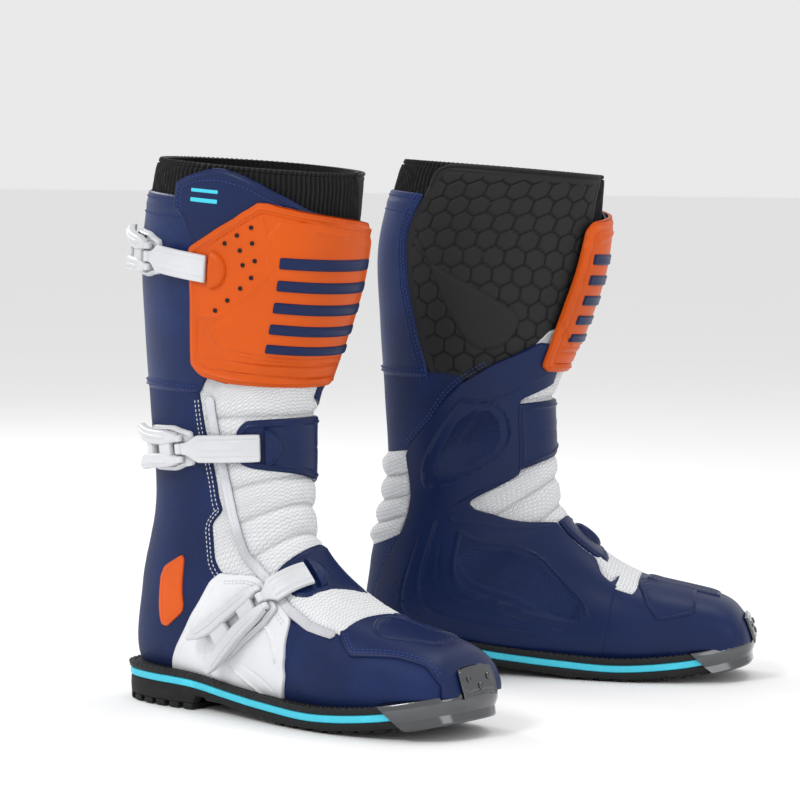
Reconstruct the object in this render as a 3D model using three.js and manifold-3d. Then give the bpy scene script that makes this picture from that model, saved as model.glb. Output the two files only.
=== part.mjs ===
// A pair of motocross boots, standing on the floor. Millimetres, +Z up, +X forward.
// Each boot is modelled on its own last: x runs forward from the heel, y outward (lateral), z up.
// A point on the last is skin(t, deg, lift): t is the girth station from toe tip (0) to collar rim (13),
// deg the angle round the girth (0 front, 90 outer side, 180 back, -90 inner side) and lift the
// distance off the surface.
import * as THREE from "three";
import { mergeVertices } from "three/addons/utils/BufferGeometryUtils.js";
import Module from "manifold-3d";

const wasm = await Module();
wasm.setup();

// ---------------------------------------------------------------- driving dimensions
const GAP = 0.4; // between neighbouring pieces
const UPPER = 3; // thickness of the upper's base layer
const OVERLAY = 2.5; // thickness of moulded overlays stitched on the base layer
const LINER = 2.6; // padded inner sock
const PLATE = 3; // shin plate
const COLLAR_RIM = 12.75; // girth station where the elastic collar ends

const HEEL_RUBBER = 18; // outsole thickness under the heel
const BALL_RUBBER = 7.5; // outsole thickness under the ball
const TOE_SPRING = 14; // height of the sole's underside at the toe tip
const STRIPE = 6; // coloured midsole
const WELT = 5; // welt and insole board
const FOOTBED = 4;
const SOLE_TOE = 309; // x of the sole's toe end
const SOLE_HEEL = -6; // x of its heel end
const BALL = 205; // x of its widest place
const BREAST = 78; // x of the heel block's front face
const TREAD_DEPTH = 3.2;
const TREAD_SLOT = 4.5;
const TREAD_PITCH = 14;
const GUARD_WALL = 2; // steel toe guard
const GUARD_LENGTH = 24;

const STRAP_WIDTH = 20;
const STRAP_THICK = 2.5;
const LEVER_WIDTH = 25;
const LEVER_THICK = 4.5;
const BASE_WIDTH = 34;
const BASE_THICK = 2.8;
const PIN_RADIUS = 1.6;
const PIN_CLEARANCE = 0.35;
const EYE_RADIUS = 3.4;
const EYE_WIDTH = 9;
const BOSS_RADIUS = 15;
const BOSS_HEIGHT = 7;

const HEEL_SPREAD = 201; // between the two heels, side by side
const STAGGER = 96; // how far the left boot stands ahead
const TOE_OUT = 15; // degrees that each boot turns out

// ---------------------------------------------------------------- the last
// Front and back points of each girth in side view, half width, outward shift, and how square the
// front and the back of the girth are (2 is an ellipse).
const STATIONS = [
  { front: [SOLE_TOE, 31], back: [SOLE_TOE, 19], half: 20, shift: -3, square: [2.3, 2.3] }, // toe
  { front: [SOLE_TOE - 8, 50], back: [SOLE_TOE - 8, 15], half: 36, shift: -3, square: [2.4, 2.4] },
  { front: [SOLE_TOE - 28, 64], back: [SOLE_TOE - 28, 9], half: 45, shift: -2, square: [2.5, 2.6] },
  { front: [BALL + 15, 78], back: [BALL + 10, 2], half: 52, shift: 0, square: [2.5, 2.8] }, // ball
  { front: [186, 97], back: [148, 4], half: 47, shift: 1, square: [2.4, 2.8] },
  { front: [163, 117], back: [80, 12], half: 44, shift: 1, square: [2.3, 2.6] }, // instep
  { front: [153, 136], back: [2, 22], half: 43, shift: 1, square: [2.2, 2.1] },
  { front: [149, 160], back: [-1, 84], half: 44, shift: 1, square: [2.2, 1.9] }, // heel
  { front: [147, 188], back: [13, 150], half: 45, shift: 0, square: [2.2, 1.9] }, // ankle
  { front: [147, 228], back: [10, 224], half: 49, shift: 0, square: [2.2, 2.0] },
  { front: [162, 268], back: [6, 282], half: 55, shift: 0, square: [2.2, 2.0] },
  { front: [181, 326], back: [4, 342], half: 61, shift: 0, square: [2.2, 2.0] }, // calf
  { front: [187, 386], back: [17, 398], half: 65, shift: 0, square: [2.2, 2.1] },
  { front: [187, 402], back: [24, 415], half: 64, shift: 0, square: [2.2, 2.1] }, // rim
].map((s) => [...s.front, ...s.back, s.half, s.shift, ...s.square]);
const LAST_STATION = STATIONS.length - 1;

function girth(t) {
  const clamped = Math.min(Math.max(t, 0), LAST_STATION - 1e-6);
  const i = Math.floor(clamped);
  const u = clamped - i;
  const at = (k) => STATIONS[Math.min(Math.max(k, 0), LAST_STATION)];
  const [a, b, c, d] = [at(i - 1), at(i), at(i + 1), at(i + 2)];
  return b.map((_, k) => {
    const slope = (c[k] - a[k]) * u;
    const bend = (2 * a[k] - 5 * b[k] + 4 * c[k] - d[k]) * u * u;
    const twist = (3 * b[k] - a[k] - 3 * c[k] + d[k]) * u ** 3;
    return (2 * b[k] + slope + bend + twist) / 2;
  });
}

function surface(t, deg) {
  const [fx, fz, bx, bz, half, shift, squareFront, squareBack] = girth(t);
  const c = Math.cos(THREE.MathUtils.degToRad(deg));
  const s = Math.sin(THREE.MathUtils.degToRad(deg));
  const power = 2 / (c > 0 ? squareFront : squareBack);
  const along = Math.sign(c) * Math.abs(c) ** power;
  const across = Math.sign(s) * Math.abs(s) ** power;
  return new THREE.Vector3(
    (fx + bx + (fx - bx) * along) / 2,
    shift + half * across,
    (fz + bz + (fz - bz) * along) / 2,
  );
}

// Outward normal of the last.
function normal(t, deg) {
  const up = surface(t + 0.04, deg).sub(surface(t - 0.04, deg));
  const round = surface(t, deg + 1.5).sub(surface(t, deg - 1.5));
  const n = round.cross(up).normalize();
  const [fx, fz, bx, bz, , shift] = girth(t);
  const middle = new THREE.Vector3((fx + bx) / 2, shift, (fz + bz) / 2);
  return surface(t, deg).sub(middle).dot(n) < 0 ? n.negate() : n;
}

const skin = (t, deg, lift) => surface(t, deg).addScaledVector(normal(t, deg), lift);

// ---------------------------------------------------------------- solids
// Every layer is faceted on the same girths and angles, so that neighbouring layers stay parallel.
const GIRTHS = [0, 0.5, 1, 1.5, 2, 2.5, 3, 3.5, 4, 5, 6, 7, 8, 9, 10, 11, 12, 13];
const COLUMNS = 16;

// A closed body from a list of points and triangles, turned to face outward.
function solid(points, triangles) {
  const flat = new Float32Array(points.flatMap((p) => [p.x, p.y, p.z]));
  const geometry = new THREE.BufferGeometry();
  geometry.setAttribute("position", new THREE.BufferAttribute(flat, 3));
  geometry.setIndex(triangles.flat());
  return solidOf(geometry);
}

function solidOf(geometry) {
  const bare = geometry.index ? geometry.toNonIndexed() : geometry.clone();
  bare.deleteAttribute("normal");
  bare.deleteAttribute("uv");
  const merged = mergeVertices(bare, 1e-3);
  const index = [...merged.index.array];
  const kept = [];
  for (let i = 0; i < index.length; i += 3) {
    const [a, b, c] = index.slice(i, i + 3);
    if (a !== b && b !== c && c !== a) kept.push([a, b, c]);
  }
  const make = (list) =>
    new wasm.Manifold(
      new wasm.Mesh({
        numProp: 3,
        vertProperties: merged.attributes.position.array,
        triVerts: new Uint32Array(list.flat()),
      }),
    );
  const made = make(kept);
  return made.volume() > 0 ? made : make(kept.map(([a, b, c]) => [a, c, b]));
}

// A block whose near and far faces are grids of points: rows x columns, closed round its edges.
// wrap joins the last column to the first, which makes a ring.
function block(near, far, wrap = false) {
  const rows = near.length;
  const columns = near[0].length;
  const points = [...near.flat(), ...far.flat()];
  const offset = rows * columns;
  const triangles = [];
  const quad = (a, b, c, d) => triangles.push([a, b, c], [a, c, d]);
  const id = (i, j, layer) => layer * offset + i * columns + (j % columns);
  const spans = wrap ? columns : columns - 1;
  for (let i = 0; i < rows - 1; i++)
    for (let j = 0; j < spans; j++) {
      quad(id(i, j, 0), id(i, j + 1, 0), id(i + 1, j + 1, 0), id(i + 1, j, 0));
      quad(id(i, j, 1), id(i + 1, j, 1), id(i + 1, j + 1, 1), id(i, j + 1, 1));
    }
  for (let j = 0; j < spans; j++) {
    quad(id(0, j, 0), id(0, j, 1), id(0, j + 1, 1), id(0, j + 1, 0));
    const top = rows - 1;
    quad(id(top, j, 0), id(top, j + 1, 0), id(top, j + 1, 1), id(top, j, 1));
  }
  if (!wrap)
    for (let i = 0; i < rows - 1; i++) {
      quad(id(i, 0, 0), id(i + 1, 0, 0), id(i + 1, 0, 1), id(i, 0, 1));
      const edge = columns - 1;
      quad(id(i, edge, 0), id(i, edge, 1), id(i + 1, edge, 1), id(i + 1, edge, 0));
    }
  return solid(points, triangles);
}

// Rows [t, degA, degB] with extra ones between, so that none is more than step stations apart.
function refine(outline, step) {
  const rows = [];
  outline.forEach((row, i) => {
    rows.push(row);
    const next = outline[i + 1];
    if (!next) return;
    const parts = Math.ceil(Math.abs(next[0] - row[0]) / step);
    for (let k = 1; k < parts; k++)
      rows.push(row.map((v, n) => v + ((next[n] - v) * k) / parts));
  });
  return rows;
}

const ringsBetween = (t0, t1) => [t0, ...GIRTHS.filter((t) => t > t0 && t < t1), t1];
function ringAt(t, lift) {
  const above = Math.max(1, GIRTHS.findIndex((g) => g >= t));
  const [a, b] = [GIRTHS[above - 1], GIRTHS[above]];
  return Array.from({ length: COLUMNS }, (_, j) => {
    const deg = (360 * j) / COLUMNS;
    return skin(a, deg, lift).lerp(skin(b, deg, lift), (t - a) / (b - a));
  });
}

// A tube round the last from girth t0 to t1.
function sleeve(t0, t1, low, high) {
  const grid = (lift) => ringsBetween(t0, t1).map((t) => ringAt(t, lift));
  return block(grid(low), grid(high), true);
}

// The last as a solid, grown by lift.
const grownLasts = new Map();
function lastSolid(lift) {
  if (grownLasts.has(lift)) return grownLasts.get(lift);
  const rows = GIRTHS.map((t) => ringAt(t, lift));
  const points = rows.flat();
  const triangles = [];
  const id = (i, j) => i * COLUMNS + (j % COLUMNS);
  for (let i = 0; i < rows.length - 1; i++)
    for (let j = 0; j < COLUMNS; j++) {
      triangles.push([id(i, j), id(i, j + 1), id(i + 1, j + 1)]);
      triangles.push([id(i, j), id(i + 1, j + 1), id(i + 1, j)]);
    }
  for (const i of [0, rows.length - 1]) {
    const centre = rows[i].reduce((sum, p) => sum.add(p), new THREE.Vector3());
    const hub = points.push(centre.divideScalar(COLUMNS)) - 1;
    for (let j = 0; j < COLUMNS; j++)
      triangles.push(i === 0 ? [hub, id(i, j + 1), id(i, j)] : [hub, id(i, j), id(i, j + 1)]);
  }
  grownLasts.set(lift, solid(points, triangles));
  return grownLasts.get(lift);
}

// A panel laid on the last between two lifts: outline rows are [t, degA, degB].
function panel(outline, low, high, step = 1) {
  const rows = refine(outline, step);
  const widest = Math.max(...outline.map(([, a, b]) => b - a));
  const columns = Math.ceil(widest / 25);
  const grid = (lift) =>
    rows.map(([t, a, b]) =>
      Array.from({ length: columns + 1 }, (_, j) => skin(t, a + ((b - a) * j) / columns, lift)),
    );
  const reach = block(grid(low - 4), grid(high + 4));
  return reach.intersect(lastSolid(high)).subtract(lastSolid(low));
}

function box(x0, x1, y0, y1, z0, z1) {
  const geometry = new THREE.BoxGeometry(x1 - x0, y1 - y0, z1 - z0);
  return solidOf(geometry.translate((x0 + x1) / 2, (y0 + y1) / 2, (z0 + z1) / 2));
}

// A cylinder of that radius between two points.
function rod(from, to, radius, sides = 10) {
  const axis = to.clone().sub(from);
  const geometry = new THREE.CylinderGeometry(radius, radius, axis.length(), sides);
  const turn = new THREE.Quaternion().setFromUnitVectors(
    new THREE.Vector3(0, 1, 0),
    axis.normalize(),
  );
  geometry.applyQuaternion(turn);
  const middle = from.clone().add(to).divideScalar(2);
  return solidOf(geometry.translate(middle.x, middle.y, middle.z));
}

const join = (...solids) => solids.reduce((a, b) => a.add(b));

// ---------------------------------------------------------------- sole
// Heights of the sole's faces along the boot.
const soleCurve = (points) => new THREE.SplineCurve(points.map(([x, z]) => new THREE.Vector2(x, z)));
const stripeFoot = soleCurve([
  [-30, HEEL_RUBBER],
  [30, HEEL_RUBBER],
  [72, HEEL_RUBBER - 1],
  [112, HEEL_RUBBER - 5.5],
  [160, BALL_RUBBER + 1.5],
  [BALL, BALL_RUBBER],
  [SOLE_TOE - 59, BALL_RUBBER + 3.5],
  [SOLE_TOE - 24, BALL_RUBBER + 9.5],
  [SOLE_TOE + 21, BALL_RUBBER + 21],
]).getPoints(13);

const heightAt = (x) => {
  const k = Math.max(1, stripeFoot.findIndex((p) => p.x >= x));
  const [a, b] = [stripeFoot[k - 1], stripeFoot[k]];
  return a.y + ((b.y - a.y) * (x - a.x)) / (b.x - a.x);
};
const weltTop = (x) => heightAt(x) + STRIPE + WELT;

// The ground face: flat heel block, arch, flat ball and a toe that springs up.
const ARCH = 6;
const ground = [
  [-30, 0],
  [BREAST, 0],
  [BREAST + 3, ARCH],
  [BREAST + 25, ARCH],
  [BREAST + 55, ARCH * 0.5],
  [165, 0],
  [BALL + 13, 0],
  [SOLE_TOE - 59, TOE_SPRING * 0.22],
  [SOLE_TOE - 24, TOE_SPRING * 0.6],
  [SOLE_TOE + 21, TOE_SPRING * 1.35],
];

// A slab that fills the boot's width between two lines drawn in side view.
function slab(lower, upper) {
  const shape = new THREE.Shape();
  [...lower, ...[...upper].reverse()].forEach(([x, z], i) =>
    i ? shape.lineTo(x, z) : shape.moveTo(x, z),
  );
  const geometry = new THREE.ExtrudeGeometry(shape, { depth: 260, bevelEnabled: false });
  const side = new THREE.Matrix4().makeBasis(
    new THREE.Vector3(1, 0, 0),
    new THREE.Vector3(0, 0, 1),
    new THREE.Vector3(0, -1, 0),
  );
  return solidOf(geometry.applyMatrix4(side).translate(0, 130, 0));
}
const lifted = (dz) => stripeFoot.map((p) => [p.x, p.y + dz]);
const lineAt = (z) => [
  [-30, z],
  [SOLE_TOE + 21, z],
];

// Plan of the sole, outward side positive; grown makes it that much larger all round.
function plan(grown = 0) {
  const outline = new THREE.CatmullRomCurve3(
    [
      [SOLE_HEEL, 0],
      [4, 29],
      [40, 42],
      [95, 43],
      [150, 51],
      [BALL, 57.5],
      [SOLE_TOE - 54, 53],
      [SOLE_TOE - 21, 40],
      [SOLE_TOE - 5, 24],
      [SOLE_TOE, 0],
      [SOLE_TOE - 4, -27],
      [SOLE_TOE - 21, -42],
      [SOLE_TOE - 54, -53],
      [BALL, -55],
      [150, -46],
      [95, -38],
      [40, -40],
      [4, -29],
    ].map(([x, y]) => new THREE.Vector3(x, y, 0)),
    true,
  ).getPoints(34);
  outline.pop();
  const shape = new THREE.Shape();
  outline.forEach((p, i) => {
    const before = outline[(i + outline.length - 1) % outline.length];
    const after = outline[(i + 1) % outline.length];
    const along = after.clone().sub(before).normalize();
    const [x, y] = [p.x - along.y * grown, p.y + along.x * grown];
    if (i) shape.lineTo(x, y);
    else shape.moveTo(x, y);
  });
  const geometry = new THREE.ExtrudeGeometry(shape, { depth: 160, bevelEnabled: false });
  return solidOf(geometry.translate(0, 0, -40));
}

const solePlan = plan();
const belowWelt = slab(lineAt(-60), lifted(STRIPE + WELT + GAP));

function treadSlots() {
  const slots = [];
  const cut = (x, tall, z) => slots.push(box(x, x + TREAD_SLOT, -80, 80, z - 1, z + tall));
  for (let x = 8; x < BREAST - 8; x += TREAD_PITCH) cut(x, TREAD_DEPTH + 1, 0);
  for (let x = BALL - 33; x < BALL + 11; x += TREAD_PITCH) cut(x, TREAD_DEPTH + 1, 0);
  return join(...slots);
}

function outsole() {
  return slab(ground, lifted(-GAP)).intersect(solePlan).subtract(treadSlots());
}
const midsole = () => slab(lifted(0), lifted(STRIPE - GAP)).intersect(solePlan);
const welt = () => slab(lifted(STRIPE), lifted(STRIPE + WELT)).intersect(plan(0.8));

// The footbed lies inside the liner, on the welt.
function footbed() {
  const low = STRIPE + WELT + GAP;
  const inside = lastSolid(-UPPER - LINER - 2 * GAP);
  return slab(lifted(low), lifted(low + FOOTBED)).intersect(inside);
}

// Steel guard round the sole's toe, with a flange screwed over the toe cap.
function toeGuard() {
  const from = SOLE_TOE - GUARD_LENGTH;
  const ahead = slab(
    [
      [from + 3, -60],
      [SOLE_TOE + 51, -60],
    ],
    [
      [from - 4, 120],
      [SOLE_TOE + 51, 120],
    ],
  );
  const outer = slab(
    ground.map(([x, z]) => [x, z - GUARD_WALL - GAP]),
    lifted(STRIPE + WELT + GUARD_WALL + GAP + 1),
  ).intersect(plan(GUARD_WALL + GAP + 0.8));
  const inner = slab(
    ground.map(([x, z]) => [x, z - GAP]),
    lifted(STRIPE + WELT + GAP),
  ).intersect(plan(GAP + 0.8));
  const cap = OVERLAY + 2 * GAP;
  const flange = panel(
    [
      [0.25, -46, 46],
      [0.95, -26, 26],
    ],
    cap,
    cap + GUARD_WALL,
  );
  const shell = outer.intersect(ahead).subtract(inner).subtract(lastSolid(cap));
  return join(shell, flange.subtract(belowWelt));
}

// ---------------------------------------------------------------- upper, base layer
const base = (outline) => panel(outline, -UPPER, 0).subtract(belowWelt);
const overlay = (outline) => panel(outline, GAP, GAP + OVERLAY).subtract(belowWelt);

const toeBox = () =>
  base(
    [
      [0, -170, 170],
      [0.5, -165, 165],
      [3.1, -150, 150],
      [3.13, -150, 150],
      [3.7, -150, 150],
    ],
  ).subtract(panel([[3.04, -50, 50], [3.8, -52, 60]], -7, 3));

// Wraps the heel from the outer side to the inner side.
const heelQuarter = () =>
  base(
    [
      [3.74, 62, 306],
      [4.2, 60, 300],
      [4.9, 53, 290],
      [5.7, 51.5, 272],
      [6.5, 57, 272],
      [7.15, 61, 272],
    ],
  );

// Padded front from the toes to the top of the shin, which bends with the ankle.
const tongue = () =>
  base(
    [
      [3.08, -46, 46],
      [3.7, -48, 56],
      [4.2, -56, 56],
      [5.0, -70, 49],
      [5.7, -86, 48],
      [6.5, -86, 54],
      [7.38, -86, 60],
      [8.0, -86, 66],
      [8.54, -86, 71],
      [9.15, -86, 75],
      [9.2, -30, 58],
      [11.5, -30, 58],
    ],
  );

const rearBellows = () =>
  base(
    [
      [7.2, 152, 238],
      [8.37, 152, 238],
    ],
  );

// Lower half of the shaft's rear panel.
const shaftQuarter = () => {
  const side = [
    [7.75, 66, 149],
    [8.42, 74, 149],
  ];
  const round = [
    [8.42, 74, 272],
    [9.18, 78, 272],
  ];
  return join(base(side), base(round));
};

const calfPanel = () =>
  base(
    [
      [9.22, 60, 248],
      [9.98, 60, 237],
      [10.54, 60, 230],
      [11.2, 60, 226],
      [11.44, 60, 228],
      [11.78, 60, 234],
    ],
  );

// Textured grip panel on the inner side of the calf.
const innerCalfPanel = () =>
  base(
    [
      [9.22, 249, 328],
      [9.98, 238, 328],
      [10.54, 231, 328],
      [11.2, 227, 328],
      [11.44, 229, 328],
      [11.78, 235, 330],
      [12.5, 242, 342],
    ],
  );

const collar = () => sleeve(11.25, COLLAR_RIM, -UPPER - LINER - GAP, -UPPER - GAP);
const liner = () =>
  sleeve(5, 11.2, -UPPER - LINER - GAP, -UPPER - GAP).subtract(
    slab(lineAt(-60), lifted(STRIPE + WELT + FOOTBED + 2 * GAP)),
  );

// ---------------------------------------------------------------- upper, overlays
const anklePanel = () =>
  overlay(
    [
      [3.76, 98, 160],
      [3.92, 84, 160],
      [4.06, 60, 160],
      [4.6, 55, 160],
      [5.3, 52, 160],
      [5.5, 54, 140],
      [5.7, 58, 100],
      [5.94, 64, 84],
      [6.14, 69, 75],
    ],
  );

// Moulded guard down the inner side of the foot, carried over the toe cap.
const innerGuard = () =>
  overlay(
    [
      [0.12, -165, 165],
      [0.78, -155, 118],
      [0.96, -150, 66],
      [1.72, -150, 51],
      [2.26, -150, 53],
      [2.76, -150, 66],
      [3.06, -150, 43],
      [3.2, -150, 0],
      [3.34, -150, -26],
      [3.46, -150, -45],
      [3.76, -150, -40],
      [4.02, -150, -24],
      [5.5, -160, -24],
      [6.12, -155, -45],
      [6.82, -142, -69],
      [7.1, -134, -80],
    ],
  );

// Upper half of the inner guard, above the ankle's flex line.
const innerShaftGuard = () =>
  overlay(
    [
      [7.6, -127, -56],
      [8.3, -136, -57],
      [8.66, -112, -57],
      [8.88, -104, -56],
      [9.16, -92, -18],
      [9.56, -73, -20],
      [9.94, -48, -40],
    ],
  );

const bossOn = (t, deg, low) => {
  const centre = skin(t, deg, low - 1);
  const out = normal(t, deg);
  const top = centre.clone().addScaledVector(out, BOSS_HEIGHT);
  return rod(centre, top, BOSS_RADIUS, 24);
};

// ---------------------------------------------------------------- buckles
// A closure runs over the last from its anchor, through the lever's pivot, to the tail of the lever.
// Each point is [t, deg]; lift is where the underside of the strap lies at the anchor and the pivot.
const CLOSURES = {
  top: { anchor: [10.98, 78], pivot: [11.02, 117], tail: [11.04, 160], lift: [8, 6.4], seat: 0 },
  mid: { anchor: [8.36, 37], pivot: [8.5, 95], tail: [8.58, 150], lift: [5.2, 5.2], seat: 0 },
  low: { anchor: [4.52, 20], pivot: [4.78, 62], tail: [5.28, 118], lift: [5.4, 8], seat: OVERLAY + GAP },
};

// Frame on the strip's centre line: u is 0 at the anchor, 1 at the pivot and 2 at the tail.
function stripFrame(closure, u) {
  const [from, to, share] =
    u < 1 ? [closure.anchor, closure.pivot, u] : [closure.pivot, closure.tail, u - 1];
  const spot = (k) => [0, 1].map((n) => from[n] + (to[n] - from[n]) * k);
  const lift = closure.lift[0] + (closure.lift[1] - closure.lift[0]) * Math.min(u, 1);
  const here = spot(share);
  const ahead = spot(share + 0.05);
  const origin = skin(...here, lift);
  const out = normal(...here);
  const along = skin(...ahead, lift).sub(origin).normalize();
  const side = out.clone().cross(along).normalize();
  return { origin, out, along, side };
}

const stripPoint = (closure, u, across, high) => {
  const { origin, out, side } = stripFrame(closure, u);
  return origin.clone().addScaledVector(side, across).addScaledVector(out, high);
};

// A strip of the closure between u0 and u1, with edges and faces that may be functions of u.
function strip(closure, u0, u1, edges, faces, cuts = 6) {
  const value = (v, u) => (typeof v === "function" ? v(u) : v);
  const us = Array.from({ length: cuts + 1 }, (_, i) => u0 + ((u1 - u0) * i) / cuts);
  const grid = (face) =>
    us.map((u) => edges.map((e) => stripPoint(closure, u, value(e, u), value(face, u))));
  return block(grid(faces[0]), grid(faces[1]));
}

const pinHeight = STRAP_THICK / 2 + 0.6;
const pivotRod = (closure, half, radius) =>
  rod(
    stripPoint(closure, 1, -half, pinHeight),
    stripPoint(closure, 1, half, pinHeight),
    radius,
  );

// How far along u a distance in millimetres is, next to the pivot.
function uFor(closure, mm, forward) {
  const a = stripFrame(closure, 1).origin;
  const b = stripFrame(closure, forward ? 1.2 : 0.8).origin;
  return (0.2 * mm) / a.distanceTo(b);
}

function strap(closure) {
  const half = STRAP_WIDTH / 2;
  const clear = uFor(closure, EYE_RADIUS + 2, false);
  const body = strip(closure, 0.02, 1 - clear, [-half, half], [0, STRAP_THICK], 5);
  const neck = strip(
    closure,
    1 - clear - 0.02,
    1,
    [-EYE_WIDTH / 2, EYE_WIDTH / 2],
    [0.2, STRAP_THICK + 0.2],
    1,
  );
  const eye = pivotRod(closure, EYE_WIDTH / 2, EYE_RADIUS);
  const hole = pivotRod(closure, EYE_WIDTH, PIN_RADIUS + PIN_CLEARANCE);
  return join(body, neck, eye).subtract(hole);
}

// Lever with two ears and a pin through the strap's eye; the tail spreads into two claws.
function lever(closure) {
  const half = LEVER_WIDTH / 2;
  const clear = uFor(closure, EYE_RADIUS + 1, true);
  const start = 1 + clear;
  const flare = (u) => half + 3.5 * Math.max(0, u - 1.3);
  const thick = (u) => LEVER_THICK - 1.2 * Math.max(0, u - 1.4);
  const plate = strip(closure, start, 1.93, [(u) => -flare(u), flare], [0, thick], 4);
  const head = join(
    strip(closure, 1, start + 0.06, [2 - half, half - 2], [0, LEVER_THICK], 1),
    pivotRod(closure, half - 2, EYE_RADIUS),
  );
  const inner = EYE_WIDTH / 2 + GAP;
  const mouth = strip(closure, 1 - 2 * clear, start, [-inner, inner], [-6, 12], 1);
  const notch = strip(closure, 1.62, 2.1, [-3.2, 3.2], [-4, LEVER_THICK + 4], 1);
  const pin = pivotRod(closure, half - 4, PIN_RADIUS);
  return join(plate, head).subtract(mouth).subtract(notch).add(pin);
}

// Plate riveted under the lever.
function buckleBase(closure) {
  const half = BASE_WIDTH / 2;
  const under = (u) => closure.seat + GAP - liftAt(closure, u) - 1;
  const over = (u) => under(u) + BASE_THICK + 1;
  const start = 1 - uFor(closure, 6, false);
  const width = (u) => half * (u < 1.1 ? 0.82 : 1);
  const edges = [(u) => -width(u), -half * 0.35, half * 0.35, width];
  const plate = strip(closure, start, 1.72, edges, [under, over], 4);
  return plate.subtract(lastSolid(closure.seat + GAP));
}
const liftAt = (closure, u) =>
  closure.lift[0] + (closure.lift[1] - closure.lift[0]) * Math.min(u, 1);

// Half-round anchor that the strap comes out of, cut clear of the strap and of what lies under seat.
function anchorBoss(closure, low, seat) {
  const [t, deg] = closure.anchor;
  const boss = bossOn(t, deg, low);
  const half = STRAP_WIDTH / 2 + GAP + 0.6;
  const { origin, along, side, out } = stripFrame(closure, 0.02);
  const cut = new THREE.BoxGeometry(60, 2 * half + 40, 40);
  const turn = new THREE.Matrix4().makeBasis(along, side, out);
  cut.translate(30 - 3.2, 0, 0).applyMatrix4(turn).translate(origin.x, origin.y, origin.z);
  return boss.subtract(solidOf(cut)).subtract(lastSolid(seat));
}

// ---------------------------------------------------------------- closures' supports
const PLATE_LOW = OVERLAY + 2 * GAP + 0.3;
const shinPlate = () =>
  join(
    panel(
      [
        [9.47, -34, 60],
        [9.56, -39, 78],
        [9.75, -39, 86],
        [10.6, -37, 88],
        [11.22, -34, 90],
        [11.5, -32, 74],
        [11.58, -26, 69],
        [11.66, 10, 64],
        [11.72, 32, 60],
        [11.79, 50, 57],
      ],
      PLATE_LOW,
      PLATE_LOW + PLATE,
    ),
    anchorBoss(CLOSURES.top, PLATE_LOW + 1, PLATE_LOW),
  );

// Closing flap behind the shin plate, with the tab that shows above it.
const cuffTab = () =>
  overlay(
    [
      [9.86, -18, 80],
      [11.2, -18, 88],
      [11.55, -18, 96],
      [11.64, 14, 97],
      [11.75, 30, 99],
      [12.0, 50, 103],
      [12.25, 63, 92],
      [12.52, 76, 82],
    ],
  );

const midGuard = () =>
  join(
    panel(
      [
        [7.56, -53, -14],
        [7.72, -53, 8],
        [7.9, -53, 32],
        [8.06, -53, 52],
        [8.2, -53, 57],
        [8.68, -53, 56],
        [8.8, -53, 50],
      ],
      GAP,
      GAP + OVERLAY + 0.4,
    ),
    anchorBoss(CLOSURES.mid, OVERLAY, GAP),
  );

const instepGuard = () =>
  join(
    panel(
      [
        [3.72, -22.5, -12],
        [3.95, -22.5, 10],
        [4.06, -22.5, 37],
        [4.3, -22.5, 45],
        [4.9, -22.5, 45],
        [5.14, -22.5, 40],
        [5.3, -22.5, 12],
        [5.48, -22.5, -10],
      ],
      GAP,
      GAP + OVERLAY + 0.4,
    ),
    anchorBoss(CLOSURES.low, OVERLAY, GAP),
  );

// ---------------------------------------------------------------- materials
const paint = (color, roughness, metalness = 0) =>
  new THREE.MeshStandardMaterial({ color, roughness, metalness });
const LOOKS = {
  navy: paint(0x172b5c, 0.55),
  suede: paint(0x14275a, 0.85),
  white: paint(0xe9eaec, 0.5),
  mesh: paint(0xe6e7e8, 0.8),
  orange: paint(0xe85a0c, 0.45),
  black: paint(0x1c1c1d, 0.7),
  rubber: paint(0x151516, 0.75),
  stripe: paint(0x5fe0f2, 0.5),
  steel: paint(0xb8bcc0, 0.22, 1),
  lining: paint(0x26272a, 0.9),
};

// Each piece of one boot: name, material and shape.
const PIECES = [
  ["outsole", LOOKS.rubber, outsole],
  ["midsole", LOOKS.stripe, midsole],
  ["welt", LOOKS.rubber, welt],
  ["footbed", LOOKS.lining, footbed],
  ["toe_guard", LOOKS.steel, toeGuard],
  ["toe_box", LOOKS.suede, toeBox],
  ["heel_quarter", LOOKS.suede, heelQuarter],
  ["ankle_panel", LOOKS.white, anklePanel],
  ["inner_guard", LOOKS.navy, innerGuard],
  ["instep_guard", LOOKS.navy, instepGuard],
  ["tongue", LOOKS.mesh, tongue],
  ["rear_bellows", LOOKS.mesh, rearBellows],
  ["liner", LOOKS.lining, liner],
  ["shaft_quarter", LOOKS.suede, shaftQuarter],
  ["inner_shaft_guard", LOOKS.navy, innerShaftGuard],
  ["mid_guard", LOOKS.navy, midGuard],
  ["calf_panel", LOOKS.navy, calfPanel],
  ["inner_calf_panel", LOOKS.black, innerCalfPanel],
  ["collar", LOOKS.black, collar],
  ["cuff_tab", LOOKS.navy, cuffTab],
  ["shin_plate", LOOKS.orange, shinPlate],
  ...Object.entries(CLOSURES).flatMap(([place, closure]) => [
    [`${place}_buckle_base`, LOOKS.white, () => buckleBase(closure)],
    [`${place}_strap`, LOOKS.white, () => strap(closure)],
    [`${place}_lever`, LOOKS.white, () => lever(closure)],
  ]),
];

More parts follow.
